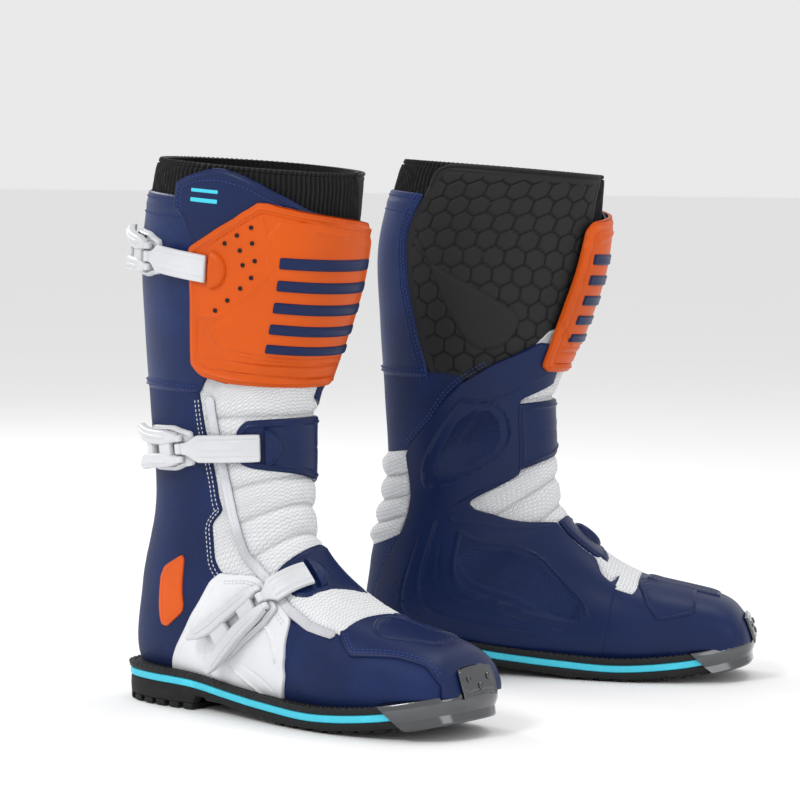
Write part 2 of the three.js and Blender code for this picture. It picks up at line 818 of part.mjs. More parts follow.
// ---------------------------------------------------------------- hinge lines on the last
const ANKLE = new THREE.Vector3(72, 0, 142);
const FLAP = [9.5, 11.55].map((t) => skin(t, -37, PLATE_LOW + PLATE));
function hinges() {
  const list = [
    { name: "ankle", at: ANKLE, axis: new THREE.Vector3(0, 1, 0) },
    { name: "flap", at: FLAP[0], axis: FLAP[1].clone().sub(FLAP[0]).normalize() },
  ];
  for (const [place, closure] of Object.entries(CLOSURES)) {
    const anchor = stripFrame(closure, 0.02);
    list.push({ name: `${place}_strap`, at: anchor.origin, axis: anchor.side });
    const pivot = stripFrame(closure, 1);
    list.push({ name: `${place}_lever`, at: stripPoint(closure, 1, 0, pinHeight), axis: pivot.side });
  }
  return list;
}

// ---------------------------------------------------------------- assembly
const shapes = PIECES.map(([name, material, make]) => {
  const { numProp, vertProperties, triVerts, numVert } = make().getMesh();
  const places = new Float32Array(numVert * 3);
  for (let i = 0; i < numVert; i++)
    places.set(vertProperties.subarray(i * numProp, i * numProp + 3), i * 3);
  const geometry = new THREE.BufferGeometry();
  geometry.setAttribute("position", new THREE.BufferAttribute(places, 3));
  geometry.setIndex(new THREE.BufferAttribute(triVerts, 1));
  return { name, material, geometry };
});

// The last's outer side is +Y, so the right boot is its mirror image.
function boot(side) {
  const group = new THREE.Group();
  const left = side === "left";
  group.position.set(left ? STAGGER : 0, left ? HEEL_SPREAD / 2 : -HEEL_SPREAD / 2, 0);
  group.rotation.z = THREE.MathUtils.degToRad(left ? TOE_OUT : -TOE_OUT);
  group.scale.y = left ? 1 : -1;
  for (const { name, material, geometry } of shapes) {
    const mesh = new THREE.Mesh(geometry, material);
    mesh.name = `${side}_${name}`;
    group.add(mesh);
  }
  group.userData.hinges = hinges();
  return group;
}

const pair = new THREE.Group();
pair.add(boot("right"), boot("left"));

// The origin is under the middle of the pair, on the floor.
const bounds = new THREE.Box3().setFromObject(pair, true);
const middle = bounds.getCenter(new THREE.Vector3());
for (const child of pair.children) child.position.sub(new THREE.Vector3(middle.x, middle.y, 0));

export default pair;
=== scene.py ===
import bmesh
import bpy
import math
import numpy as np
from mathutils import Matrix, Vector, kdtree


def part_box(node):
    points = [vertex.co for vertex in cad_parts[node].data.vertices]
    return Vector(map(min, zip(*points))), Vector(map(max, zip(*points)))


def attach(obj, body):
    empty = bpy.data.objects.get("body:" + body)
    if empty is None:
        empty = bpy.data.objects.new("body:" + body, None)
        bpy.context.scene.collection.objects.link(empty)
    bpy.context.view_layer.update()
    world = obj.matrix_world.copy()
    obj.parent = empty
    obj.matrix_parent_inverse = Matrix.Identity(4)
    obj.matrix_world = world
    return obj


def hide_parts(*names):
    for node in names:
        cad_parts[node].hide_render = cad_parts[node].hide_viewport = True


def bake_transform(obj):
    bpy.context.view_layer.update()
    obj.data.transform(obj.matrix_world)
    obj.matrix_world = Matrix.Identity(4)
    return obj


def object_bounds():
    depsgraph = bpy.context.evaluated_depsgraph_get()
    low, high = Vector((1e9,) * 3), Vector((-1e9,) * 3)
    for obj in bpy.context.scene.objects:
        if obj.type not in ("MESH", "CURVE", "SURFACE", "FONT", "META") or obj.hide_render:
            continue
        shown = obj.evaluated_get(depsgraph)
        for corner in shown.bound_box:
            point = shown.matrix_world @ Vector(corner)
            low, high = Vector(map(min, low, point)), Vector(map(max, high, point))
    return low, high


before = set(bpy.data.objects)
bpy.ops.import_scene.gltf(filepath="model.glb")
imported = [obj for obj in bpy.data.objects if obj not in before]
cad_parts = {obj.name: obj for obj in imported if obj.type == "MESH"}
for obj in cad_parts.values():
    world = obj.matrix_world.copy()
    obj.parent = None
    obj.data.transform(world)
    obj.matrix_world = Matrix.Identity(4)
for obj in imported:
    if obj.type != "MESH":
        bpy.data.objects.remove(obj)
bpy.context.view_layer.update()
print("frame loaded")

stance = {"toeOut": 15.0, "mm": 0.001}
sideNames = ("right", "left")

# The last that every upper piece is laid on.
last = {
    # front x, z; back x, z; half width; outward shift; squareness in front and at the back
    "girths": np.array([
        (309, 31, 309, 19, 20, -3, 2.3, 2.3),
        (301, 50, 301, 15, 36, -3, 2.4, 2.4),
        (281, 64, 281, 9, 45, -2, 2.5, 2.6),
        (220, 78, 215, 2, 52, 0, 2.5, 2.8),
        (186, 97, 148, 4, 47, 1, 2.4, 2.8),
        (163, 117, 80, 12, 44, 1, 2.3, 2.6),
        (153, 136, 2, 22, 43, 1, 2.2, 2.1),
        (149, 160, -1, 84, 44, 1, 2.2, 1.9),
        (147, 188, 13, 150, 45, 0, 2.2, 1.9),
        (147, 228, 10, 224, 49, 0, 2.2, 2.0),
        (162, 268, 6, 282, 55, 0, 2.2, 2.0),
        (181, 326, 4, 342, 61, 0, 2.2, 2.0),
        (187, 386, 17, 398, 65, 0, 2.2, 2.1),
        (187, 402, 24, 415, 64, 0, 2.2, 2.1),
    ]),
    "mmPerGirth": 36.0,  # rough sizes of one girth step and one degree, for spacing
    "mmPerDegree": 0.95,
}


def girthAt(t):
    count = len(last["girths"])
    t = np.clip(np.asarray(t, float), 0, count - 1 - 1e-6)
    i = np.floor(t).astype(int)
    u = (t - i)[:, None]
    a, b, c, d = (last["girths"][np.clip(i + k, 0, count - 1)] for k in (-1, 0, 1, 2))
    bend = (2 * a - 5 * b + 4 * c - d) * u**2 + (3 * b - a - 3 * c + d) * u**3
    return b + ((c - a) * u + bend) / 2


def lastPoint(t, deg):
    frontX, frontZ, backX, backZ, half, shift, squareFront, squareBack = girthAt(t).T
    c, s = np.cos(np.radians(deg)), np.sin(np.radians(deg))
    power = 2 / np.where(c > 0, squareFront, squareBack)
    along, across = np.sign(c) * abs(c) ** power, np.sign(s) * abs(s) ** power
    return np.stack([
        (frontX + backX + (frontX - backX) * along) / 2,
        shift + half * across,
        (frontZ + backZ + (frontZ - backZ) * along) / 2,
    ], axis=1)


def unit(vectors):
    return vectors / np.maximum(np.linalg.norm(vectors, axis=1, keepdims=True), 1e-9)


def onLast(t, deg):  # points on the last and their outward normals
    t, deg = np.asarray(t, float), np.asarray(deg, float)
    here = lastPoint(t, deg)
    upward = lastPoint(t + 0.04, deg) - lastPoint(t - 0.04, deg)
    normal = unit(np.cross(lastPoint(t, deg + 1.5) - lastPoint(t, deg - 1.5), upward))
    g = girthAt(t)
    middle = np.stack([(g[:, 0] + g[:, 2]) / 2, g[:, 5], (g[:, 1] + g[:, 3]) / 2], axis=1)
    inward = np.einsum("ij,ij->i", here - middle, normal) < 0
    normal[inward] *= -1
    return here, normal


# The path of each strap and lever over the last.
buckles = {
    "top": {"anchor": (10.98, 78), "pivot": (11.02, 117), "tail": (11.04, 160),
            "lift": (8, 6.4), "seat": 0.4},
    "mid": {"anchor": (8.36, 37), "pivot": (8.5, 95), "tail": (8.58, 150),
            "lift": (5.2, 5.2), "seat": 0.4},
    "low": {"anchor": (4.52, 20), "pivot": (4.78, 62), "tail": (5.28, 118),
            "lift": (5.4, 8), "seat": 3.3, "reach": 0.84},
}  # reach shortens a lever along its run


def buckleLift(buckle, u):
    return buckle["lift"][0] + (buckle["lift"][1] - buckle["lift"][0]) * np.minimum(u, 1)


def onBuckle(buckle):  # a surface whose u runs 0 anchor, 1 pivot, 2 tail and whose v is mm across
    spots = np.array([buckle["anchor"], buckle["pivot"], buckle["tail"]], float)

    def spine(u):
        u = np.asarray(u, float)
        share = np.where(u < 1, u, u - 1)[:, None]
        first = np.where(u[:, None] < 1, spots[0], spots[1])
        second = np.where(u[:, None] < 1, spots[1], spots[2])
        place = first + (second - first) * share
        here, out = onLast(place[:, 0], place[:, 1])
        return here + out * buckleLift(buckle, u)[:, None], out

    def surface(u, across):
        u = np.asarray(u, float)
        here, out = spine(u)
        ahead = unit(spine(u + 0.03)[0] - spine(u - 0.03)[0])
        side = unit(np.cross(out, ahead))
        return here + side * np.asarray(across, float)[:, None], unit(np.cross(ahead, side))

    return surface


def smoothStep(x):
    x = np.clip(x, 0, 1)
    return x * x * (3 - 2 * x)


def softened(path, closed=False, rounds=2):  # cuts the corners of a path
    path = np.array(path, float)
    for _ in range(rounds):
        after = np.roll(path, -1, axis=0) if closed else path[1:]
        before = path if closed else path[:-1]
        cut = np.stack([before * 0.75 + after * 0.25, before * 0.25 + after * 0.75], axis=1)
        cut = cut.reshape(-1, 2)
        path = cut if closed else np.vstack([path[:1], cut[1:-1], path[-1:]])
    return path


def traced(surface, path, gap, closed=False):  # evenly spaced spots of a path on a surface
    path = np.array(path, float)
    if closed:
        path = np.vstack([path, path[:1]])
    dense = np.vstack([a + (b - a) * np.linspace(0, 1, 24, endpoint=False)[:, None]
                       for a, b in zip(path[:-1], path[1:])] + [path[-1:]])
    places, _ = surface(dense[:, 0], dense[:, 1])
    run = np.concatenate([[0], np.cumsum(np.linalg.norm(np.diff(places, axis=0), axis=1))])
    stops = np.linspace(0, run[-1], max(2, int(round(run[-1] / gap)) + 1))
    return np.stack([np.interp(stops, run, dense[:, k]) for k in (0, 1)], axis=1)


def distanceTo(points, line):
    tree = kdtree.KDTree(len(line))
    for i, spot in enumerate(line):
        tree.insert(spot, i)
    tree.balance()
    return np.array([tree.find(p)[2] for p in points])


def insideOf(spots, outline):  # even-odd test in the surface's own coordinates
    x, y = spots[:, 0], spots[:, 1]
    inside = np.zeros(len(spots), bool)
    for (x0, y0), (x1, y1) in zip(outline, np.roll(outline, -1, axis=0)):
        if x0 == x1:
            continue
        crosses = ((x0 > x) != (x1 > x)) & (y < (y1 - y0) * (x - x0) / (x1 - x0) + y0)
        inside ^= crosses
    return inside


def smoothLine(points, metric, soft):  # the points joined, their corners softened over soft mm
    points = np.array(points, float)
    weight = abs(np.diff(points, axis=0)) * metric
    run = np.concatenate([[0], np.cumsum(np.maximum(weight.sum(axis=1), 1e-6))])
    fine = np.linspace(0, run[-1], max(40, int(run[-1] / 0.8)))
    line = np.stack([np.interp(fine, run, column) for column in points.T], axis=1)
    reach = min(max(1, int(soft / (fine[1] - fine[0]))), len(line) - 2)
    ends = np.vstack([2 * line[0] - line[reach:0:-1], line, 2 * line[-1] - line[-2:-reach - 2:-1]])
    window = np.hanning(2 * reach + 3)[1:-1]
    line = np.stack([np.convolve(column, window / window.sum(), "valid") for column in ends.T], 1)
    return fine / run[-1], line


def along(side, s, metric, soft):
    share, line = smoothLine(side, metric, soft)
    return np.stack([np.interp(s, share, column) for column in line.T], axis=1)


def patchAt(shape, x, y):  # -1..1 both ways to a spot inside the outline
    u, v = (x + 1) / 2, (y + 1) / 2
    metric = np.array(shape.get("metric", (last["mmPerGirth"], last["mmPerDegree"])))
    soft = shape.get("soft", 4.0)
    if "rows" in shape:  # [girth, one side's angle, the other side's angle]
        rows = along(shape["rows"], v, np.array([metric[0], metric[1] * 0.3, metric[1] * 0.3]), soft)
        return np.stack([rows[:, 0], rows[:, 1] + (rows[:, 2] - rows[:, 1]) * u], axis=1)
    left, right = shape["left"], shape["right"]
    low = shape.get("low", [left[0], right[0]])
    high = shape.get("high", [left[-1], right[-1]])
    l, r = along(left, v, metric, soft), along(right, v, metric, soft)
    b, t = along(low, u, metric, soft), along(high, u, metric, soft)
    u, v = u[:, None], v[:, None]
    corners = ((1 - u) * (1 - v) * np.array(left[0]) + u * (1 - v) * np.array(right[0])
               + (1 - u) * v * np.array(left[-1]) + u * v * np.array(right[-1]))
    return (1 - v) * b + v * t + (1 - u) * l + u * r - corners


def crowded(x, share):  # gathers grid lines near both ends
    return x * (1 - share) + np.sin(x * math.pi / 2) * share


def rounded(x, y, pull):  # rounds the corners of the square
    return x * (1 - pull * abs(y) ** 8), y * (1 - pull * abs(x) ** 8)


def markRise(shape, surface, spots, face):
    rise, tone = np.zeros(len(face)), np.zeros(len(face))
    for mark in shape.get("marks", []):
        closed = "area" in mark
        path = softened(mark["area"] if closed else mark["path"], closed, mark.get("soft", 2))
        line = traced(surface, path, 0.8, closed)
        away = distanceTo(face, surface(line[:, 0], line[:, 1])[0])
        if closed:
            away = np.where(insideOf(spots, path), away, -away)
            share = smoothStep(0.5 + away / mark["wide"])
        else:
            share = smoothStep(1 - 2 * away / mark["wide"])
        rise += mark["high"] * share
        tone = np.maximum(tone, share * mark.get("tone", 0))
    return rise, tone


def layPanel(shape, surface=onLast):  # lift is the top face's height; thick goes down from it
    rows, columns = shape["grid"]
    ring = shape.get("ring", False)  # its first and last columns meet
    panel = bmesh.new()
    bmesh.ops.create_grid(panel, x_segments=columns, y_segments=rows, size=1)
    flat = np.array([v.co[:2] for v in panel.verts])
    crowd = shape.get("crowd", 0.3)
    x, y = crowded(flat[:, 0], 0 if ring else crowd), crowded(flat[:, 1], crowd)
    pull = 0 if ring else shape.get("corner", 0.02)
    spots = patchAt(shape, *rounded(x, y, pull))
    face, out = surface(spots[:, 0], spots[:, 1])
    onRim = (abs(flat[:, 1]) if ring else abs(flat).max(axis=1)) > 1 - 1e-5
    fromRim = distanceTo(face, face[onRim])
    roll = shape.get("roll", 1.6)
    drop = min(roll, shape["thick"] * 0.85)
    near = np.clip(fromRim / roll, 0, 1)
    rise, tone = markRise(shape, surface, spots, face)
    for inset, wide, high in shape.get("lips", []):  # ridges that run round inside the rim
        rise += high * smoothStep(1 - 2 * abs(fromRim - inset) / wide)
    rise += shape.get("crown", 0) * smoothStep(fromRim / shape.get("crownReach", 12))
    rise -= drop * (1 - np.sqrt(1 - (1 - near) ** 2))
    table = (rows + 1, columns + 1)
    grid = face.reshape(*table, 3)
    acrossMm = np.zeros(table)
    acrossMm[:, 1:] = np.cumsum(np.linalg.norm(np.diff(grid, axis=1), axis=2), axis=1)
    acrossMm -= acrossMm[:, columns // 2][:, None]
    upMm = np.zeros(table)
    upMm[1:] = np.cumsum(np.linalg.norm(np.diff(grid, axis=0), axis=2), axis=0)
    skin = np.stack([acrossMm.ravel(), upMm.ravel()], axis=1)
    if "pattern" in shape:
        extra, extraTone = shape["pattern"](skin, spots, fromRim)
        rise, tone = rise + extra, np.maximum(tone, extraTone)
    lift = shape["lift"](spots) if callable(shape["lift"]) else shape["lift"]
    place = face + out * (lift + rise)[:, None]
    under = face + out * (np.zeros(len(face)) + lift - shape["thick"])[:, None]
    topLayer = panel.verts.layers.float_vector.new("top")
    underLayer = panel.verts.layers.float_vector.new("under")
    toneLayer = panel.verts.layers.float.new("tone")
    wearLayer = panel.verts.layers.float.new("wear")
    uvLayer = panel.loops.layers.uv.new("skin")
    panel.verts.ensure_lookup_table()
    for i, vert in enumerate(panel.verts):
        vert.co = place[i]
        vert[topLayer], vert[underLayer] = place[i], under[i]
        vert[toneLayer] = tone[i]
        vert[wearLayer] = math.exp(-fromRim[i] / 1.8)
    panel.verts.index_update()
    for panelFace in panel.faces:
        for loop in panelFace.loops:
            loop[uvLayer].uv = skin[loop.vert.index] * 0.001
    if shape.get("onSole"):  # ends just inside the welt
        sunk = [v for v in panel.verts if v.co.z < weltTop(v.co.x) - 2.5]
        bmesh.ops.delete(panel, geom=sunk, context="VERTS")
    if ring:
        bmesh.ops.remove_doubles(panel, verts=panel.verts[:], dist=0.01)
    panel.normal_update()
    corners = [(face.normal, face.verts[0]) for face in panel.faces]
    if sum(normal.dot(vert[topLayer] - vert[underLayer]) for normal, vert in corners) < 0:
        bmesh.ops.reverse_faces(panel, faces=panel.faces[:])
        panel.normal_update()
    bmesh.ops.solidify(panel, geom=panel.faces[:], thickness=shape["thick"])
    for vert in panel.verts:  # the wall's inner face follows the surface, so that no rim folds
        if (vert.co - vert[topLayer]).length > 0.001:
            vert.co = vert[underLayer]
    for layer in ("top", "under"):
        panel.verts.layers.float_vector.remove(panel.verts.layers.float_vector[layer])
    panel.normal_update()
    return panel


def beside(path, inset, surface=onLast):  # the path moved inset mm to its left, seen from outside
    path = traced(surface, path, 3.0)
    here, out = surface(path[:, 0], path[:, 1])
    perGirth = np.linalg.norm(surface(path[:, 0] + 0.05, path[:, 1])[0] - here, axis=1) / 0.05
    perDegree = np.linalg.norm(surface(path[:, 0], path[:, 1] + 1)[0] - here, axis=1)
    metric = np.stack([perGirth, perDegree], axis=1)
    ahead = unit(np.gradient(path * metric.mean(axis=0), axis=0))
    return path + np.stack([ahead[:, 1], -ahead[:, 0]], axis=1) * inset / metric


def sew(paths, surface=onLast, lift=0.0, gap=3.4, length=2.5, thick=0.42):
    thread = bmesh.new()
    for path in paths:
        line = traced(surface, path, gap)
        spots, out = surface(line[:, 0], line[:, 1])
        spots = spots + out * lift
        for a, b, up in zip(spots[:-1], spots[1:], out[:-1]):
            middle, ahead, up = Vector((a + b) / 2), Vector(b - a).normalized(), Vector(up)
            side = up.cross(ahead).normalized()
            turn = Matrix((ahead, side, ahead.cross(side))).transposed().to_4x4()
            size = Matrix.Diagonal((length / 2, thick, thick, 1))
            bmesh.ops.create_uvsphere(thread, u_segments=6, v_segments=5, radius=1,
                                      matrix=Matrix.Translation(middle) @ turn @ size)
    return thread


def sweep(path, wide, high, surface=onLast, lift=0.0, gap=2.5, sides=12):  # an oval cord on a path
    line = traced(surface, path, gap)
    spots, out = surface(line[:, 0], line[:, 1])
    spots = spots + out * lift
    ahead = unit(np.gradient(spots, axis=0))
    tube = bmesh.new()
    ring = bmesh.ops.create_circle(tube, segments=sides, radius=1)["verts"]
    section = [v.co.copy() for v in ring]
    edges = tube.edges[:]
    for i, (spot, up, forward) in enumerate(zip(spots, out, ahead)):
        if i:
            grown = bmesh.ops.extrude_edge_only(tube, edges=edges)["geom"]
            edges = [g for g in grown if isinstance(g, bmesh.types.BMEdge)]
            fresh = {g for g in grown if isinstance(g, bmesh.types.BMVert)}
            ring = [next(e.other_vert(v) for e in v.link_edges if e.other_vert(v) in fresh)
                    for v in ring]
        side = np.cross(up, forward)
        side /= np.linalg.norm(side)
        top = np.cross(forward, side)
        taper = 0.3 if i in (0, len(spots) - 1) else 1.0
        for vert, flatSpot in zip(ring, section):
            vert.co = spot + (side * flatSpot.x * wide + top * flatSpot.y * high) * taper
    bmesh.ops.holes_fill(tube, edges=tube.edges[:], sides=sides)
    bmesh.ops.recalc_face_normals(tube, faces=tube.faces[:])
    return tube


def turned(profile, spot, out, turns=40):  # a round form spun about a normal, from (radius, height) steps
    form = bmesh.new()
    chain = [form.verts.new((r, 0, h)) for r, h in profile]
    edges = [form.edges.new(pair) for pair in zip(chain[:-1], chain[1:])]
    bmesh.ops.spin(form, geom=chain + edges, cent=(0, 0, 0), axis=(0, 0, 1),
                   angle=math.tau, steps=turns, use_merge=True)
    bmesh.ops.remove_doubles(form, verts=form.verts[:], dist=0.001)
    bmesh.ops.recalc_face_normals(form, faces=form.faces[:])
    turn = Vector((0, 0, 1)).rotation_difference(Vector(out)).to_matrix().to_4x4()
    bmesh.ops.transform(form, matrix=Matrix.Translation(Vector(spot)) @ turn, verts=form.verts[:])
    return form


def joined(*forms):
    whole = bmesh.new()
    for form in forms:
        carrier = bpy.data.meshes.new("carrier")
        form.to_mesh(carrier)
        whole.from_mesh(carrier)
        bpy.data.meshes.remove(carrier)
        form.free()
    return whole


sole = {
    "foot": [(-30, 18), (30, 18), (72, 17), (112, 12.5), (160, 9), (205, 7.5), (250, 11),
             (285, 17), (330, 28.5)],  # the stripe's underside: x, z
    "ground": [(-30, 0), (78, 0), (81, 6), (103, 6), (133, 3), (165, 0), (218, 0), (250, 3.1),
               (285, 8.4), (330, 18.9)],
    "plan": [(-6, 0), (4, 29), (40, 42), (95, 43), (150, 51), (205, 57.5), (255, 53), (288, 40),
             (304, 24), (309, 0), (305, -27), (288, -42), (255, -53), (205, -55), (150, -46),
             (95, -38), (40, -40), (4, -29)],
    "stripe": 6, "welt": 5, "points": 420,
    "lugs": [(-4, 8), (12.5, 22), (26.5, 36), (40.5, 50), (54.5, 64), (68.5, 78), (165, 172),
             (176.5, 186), (190.5, 200), (204.5, 214), (218, 227), (231, 240), (244, 253),
             (257, 266), (270, 279)],
    "heelDepth": 4.6, "ballDepth": 2.4, "weltWave": 0.9, "weltPitch": 6.4,
}


def splined(points, count, closed=False):
    points = np.array(points, float)
    n = len(points)
    spans = n if closed else n - 1
    at = np.linspace(0, spans, count, endpoint=not closed)
    i = np.minimum(at.astype(int), spans - 1)
    u = (at - i)[:, None]
    pick = (lambda k: points[(i + k) % n]) if closed else (lambda k: points[np.clip(i + k, 0, n - 1)])
    a, b, c, d = pick(-1), pick(0), pick(1), pick(2)
    return b + ((c - a) * u + (2 * a - 5 * b + 4 * c - d) * u**2 + (3 * b - a - 3 * c + d) * u**3) / 2


footLine = splined(sole["foot"], 120)
groundLine = np.array(sole["ground"], float)
planLine = splined(sole["plan"], 720, closed=True)


def footAt(x):
    return np.interp(x, footLine[:, 0], footLine[:, 1])


def groundAt(x):
    return np.interp(x, groundLine[:, 0], groundLine[:, 1])


def lugDepth(x):
    return np.where(np.asarray(x) < 90, sole["heelDepth"], sole["ballDepth"])


def weltTop(x):
    return footAt(x) + sole["stripe"] + sole["welt"]


def planLoop(count, start=0.0, end=1.0):  # even points round the sole and their outward directions
    loop = np.vstack([planLine, planLine[:1]])
    run = np.concatenate([[0], np.cumsum(np.linalg.norm(np.diff(loop, axis=0), axis=1))])
    stops = np.linspace(start * run[-1], end * run[-1], count, endpoint=end < 1)
    spots = np.stack([np.interp(stops, run, loop[:, k]) for k in (0, 1)], axis=1)
    ahead = np.stack([np.interp((stops + 1) % run[-1], run, loop[:, k]) for k in (0, 1)], axis=1)
    back = np.stack([np.interp((stops - 1) % run[-1], run, loop[:, k]) for k in (0, 1)], axis=1)
    tangent = unit(ahead - back)
    return spots, np.stack([-tangent[:, 1], tangent[:, 0]], axis=1), stops


def halfWidth(x, sign):  # how far the sole reaches to one side at x
    part = planLine[planLine[:, 1] * sign >= 0]
    part = part[np.argsort(part[:, 0])]
    return abs(np.interp(x, part[:, 0], part[:, 1]))


def soleStack(rings):  # rings of (growth, height function of x and the run), bottom to top
    spots, outward, run = planLoop(sole["points"])
    stack = bmesh.new()
    ring = bmesh.ops.create_circle(stack, segments=len(spots), radius=1)["verts"]
    edges = stack.edges[:]
    for i, (grown, height) in enumerate(rings):
        if i:
            more = bmesh.ops.extrude_edge_only(stack, edges=edges)["geom"]
            edges = [g for g in more if isinstance(g, bmesh.types.BMEdge)]
            fresh = {g for g in more if isinstance(g, bmesh.types.BMVert)}
            ring = [next(e.other_vert(v) for e in v.link_edges if e.other_vert(v) in fresh)
                    for v in ring]
        line = spots + outward * (grown(run) if callable(grown) else grown)[:, None] if callable(
            grown) else spots + outward * grown
        z = height(spots[:, 0], run)
        for vert, (px, py), pz in zip(ring, line, z):
            vert.co = (px, py, pz)
    bmesh.ops.holes_fill(stack, edges=stack.edges[:], sides=len(spots))
    bmesh.ops.recalc_face_normals(stack, faces=stack.faces[:])
    return stack


def makeLug(x0, x1):  # a tread bar across the sole with bevelled edges
    lug = bmesh.new()
    bmesh.ops.create_grid(lug, x_segments=2, y_segments=12, size=1)
    bmesh.ops.solidify(lug, geom=lug.faces[:], thickness=1)
    for vert in lug.verts:
        run, across = (vert.co.x + 1) / 2, vert.co.y
        x = x0 + (x1 - x0) * run
        if x < 0:
            x = max(x, -4.5)
        reach = halfWidth(x, across) - (0.4 if x < 90 else 3.0)
        upper = vert.co.z > -0.5
        vert.co = (x, across * reach, groundAt(x) + (lugDepth(x) if upper else 0.0))
    bmesh.ops.recalc_face_normals(lug, faces=lug.faces[:])
    rim = [e for e in lug.edges if e.calc_face_angle(0) > 0.9]
    bmesh.ops.bevel(lug, geom=rim, offset=0.7, segments=2, profile=0.5, affect="EDGES", material=-1)
    return lug


def makeOutsole():
    def floorOf(x, run):
        return groundAt(x) + lugDepth(x) - 0.4
    body = soleStack([
        (-9.0, floorOf), (-1.6, floorOf),
        (-0.3, lambda x, run: groundAt(x) + lugDepth(x) + 0.5),
        (0.2, lambda x, run: (groundAt(x) + lugDepth(x) + footAt(x)) / 2),
        (0.0, lambda x, run: footAt(x) - 1.0),
        (-0.8, lambda x, run: footAt(x) - 0.1), (-9.0, lambda x, run: footAt(x) - 0.1),
    ])
    return joined(body, *(makeLug(*lug) for lug in sole["lugs"]))


def makeStripe():
    levels = [(-9.0, 0.0), (-0.7, 0.0), (0.35, 0.7), (0.8, 3.0), (0.35, 5.3), (-0.7, 6.0), (-9.0, 6.0)]
    return soleStack([(grown, lambda x, run, up=up: footAt(x) + up) for grown, up in levels])


def makeWelt():
    def wave(run):
        return abs(np.sin(run * math.pi / sole["weltPitch"])) * sole["weltWave"]
    base = sole["stripe"]
    return soleStack([
        (-9.0, lambda x, run: footAt(x) + base), (0.2, lambda x, run: footAt(x) + base),
        (1.1, lambda x, run: footAt(x) + base + 0.6), (1.4, lambda x, run: footAt(x) + base + 1.6),
        (lambda run: 1.2 + wave(run), lambda x, run: footAt(x) + base + 3.2 + wave(run)),
        (lambda run: 0.6 + wave(run), lambda x, run: footAt(x) + base + 4.3 + wave(run)),
        (-1.0, lambda x, run: footAt(x) + base + 4.7 + wave(run) * 0.4),
        (-3.6, lambda x, run: footAt(x) + base + 4.4), (-14.0, lambda x, run: footAt(x) + base + 4.4),
    ])


def onWelt(share, inward):  # a surface round the top of the welt
    spots, outward, run = planLoop(720)
    whole = np.linspace(0, 1, 720, endpoint=False)
    x, y = (np.interp(share, whole, spots[:, k]) for k in (0, 1))
    ox, oy = (np.interp(share, whole, outward[:, k]) for k in (0, 1))
    x, y = x - ox * inward, y - oy * inward
    return np.stack([x, y, weltTop(x)], axis=1), np.tile([0.0, 0.0, 1.0], (len(x), 1))


guard = {
    "wall": 1.8, "columns": 48,
    # growth out from the sole, height, share of the way from the ground to the welt, length round
    "levels": [(-16, -1.4, 0, 0.066), (-1.5, -1.6, 0, 0.072), (1.4, -0.6, 0, 0.076),
               (2.4, 1.2, 0, 0.080), (1.4, 0.0, 0.34, 0.088), (3.4, 0.0, 0.62, 0.094),
               (3.4, -1.0, 1, 0.102), (2.6, 0.6, 1, 0.104), (0.6, 1.6, 1, 0.104),
               (-3.0, 2.4, 1, 0.102)],
}


def makeToeGuard():  # steel wrapped round the sole's toe, turned under it and over it
    shell = bmesh.new()
    columns, levels = guard["columns"], guard["levels"]
    bmesh.ops.create_grid(shell, x_segments=columns, y_segments=len(levels) - 1, size=1)
    rings = [planLoop(columns + 1, 0.5 - level[3], 0.5 + level[3]) for level in levels]
    for k, vert in enumerate(shell.verts):
        i, j = divmod(k, columns + 1)
        grown, up, share, _ = levels[i]
        spots, outward, _ = rings[i]
        x, y = spots[j] + outward[j] * grown
        low, high = groundAt(spots[j][0]), weltTop(spots[j][0])
        vert.co = (x, y, low + (high - low) * share + up)
    shell.normal_update()
    bmesh.ops.recalc_face_normals(shell, faces=shell.faces[:])
    middle = max(shell.faces, key=lambda f: f.calc_center_median().x)
    if middle.normal.x < 0:
        bmesh.ops.reverse_faces(shell, faces=shell.faces[:])
    shell.normal_update()
    bmesh.ops.solidify(shell, geom=shell.faces[:], thickness=guard["wall"])
    return shell


class Wire:  # one socket of a node tree: maths on it adds Math nodes
    def __init__(self, finish, socket):
        self.finish, self.socket = finish, socket

    def maths(self, how, *others):
        return self.finish.node("ShaderNodeMath", {"operation": how}, dict(enumerate((self, *others))))

    def __add__(self, other):
        return self.maths("ADD", other)

    def __sub__(self, other):
        return self.maths("SUBTRACT", other)

    def __rsub__(self, other):
        return self.finish.node("ShaderNodeMath", {"operation": "SUBTRACT"}, {0: other, 1: self})

    def __mul__(self, other):
        return self.maths("MULTIPLY", other)

    def __truediv__(self, other):
        return self.maths("DIVIDE", other)

    __radd__, __rmul__ = __add__, __mul__

    def clip(self):
        return self.maths("MINIMUM", 1.0).maths("MAXIMUM", 0.0)

    def step(self, low, high):  # smooth 0 to 1 between two values
        return self.finish.node("ShaderNodeMapRange", {"interpolation_type": "SMOOTHSTEP"},
                                {"Value": self, "From Min": low, "From Max": high})


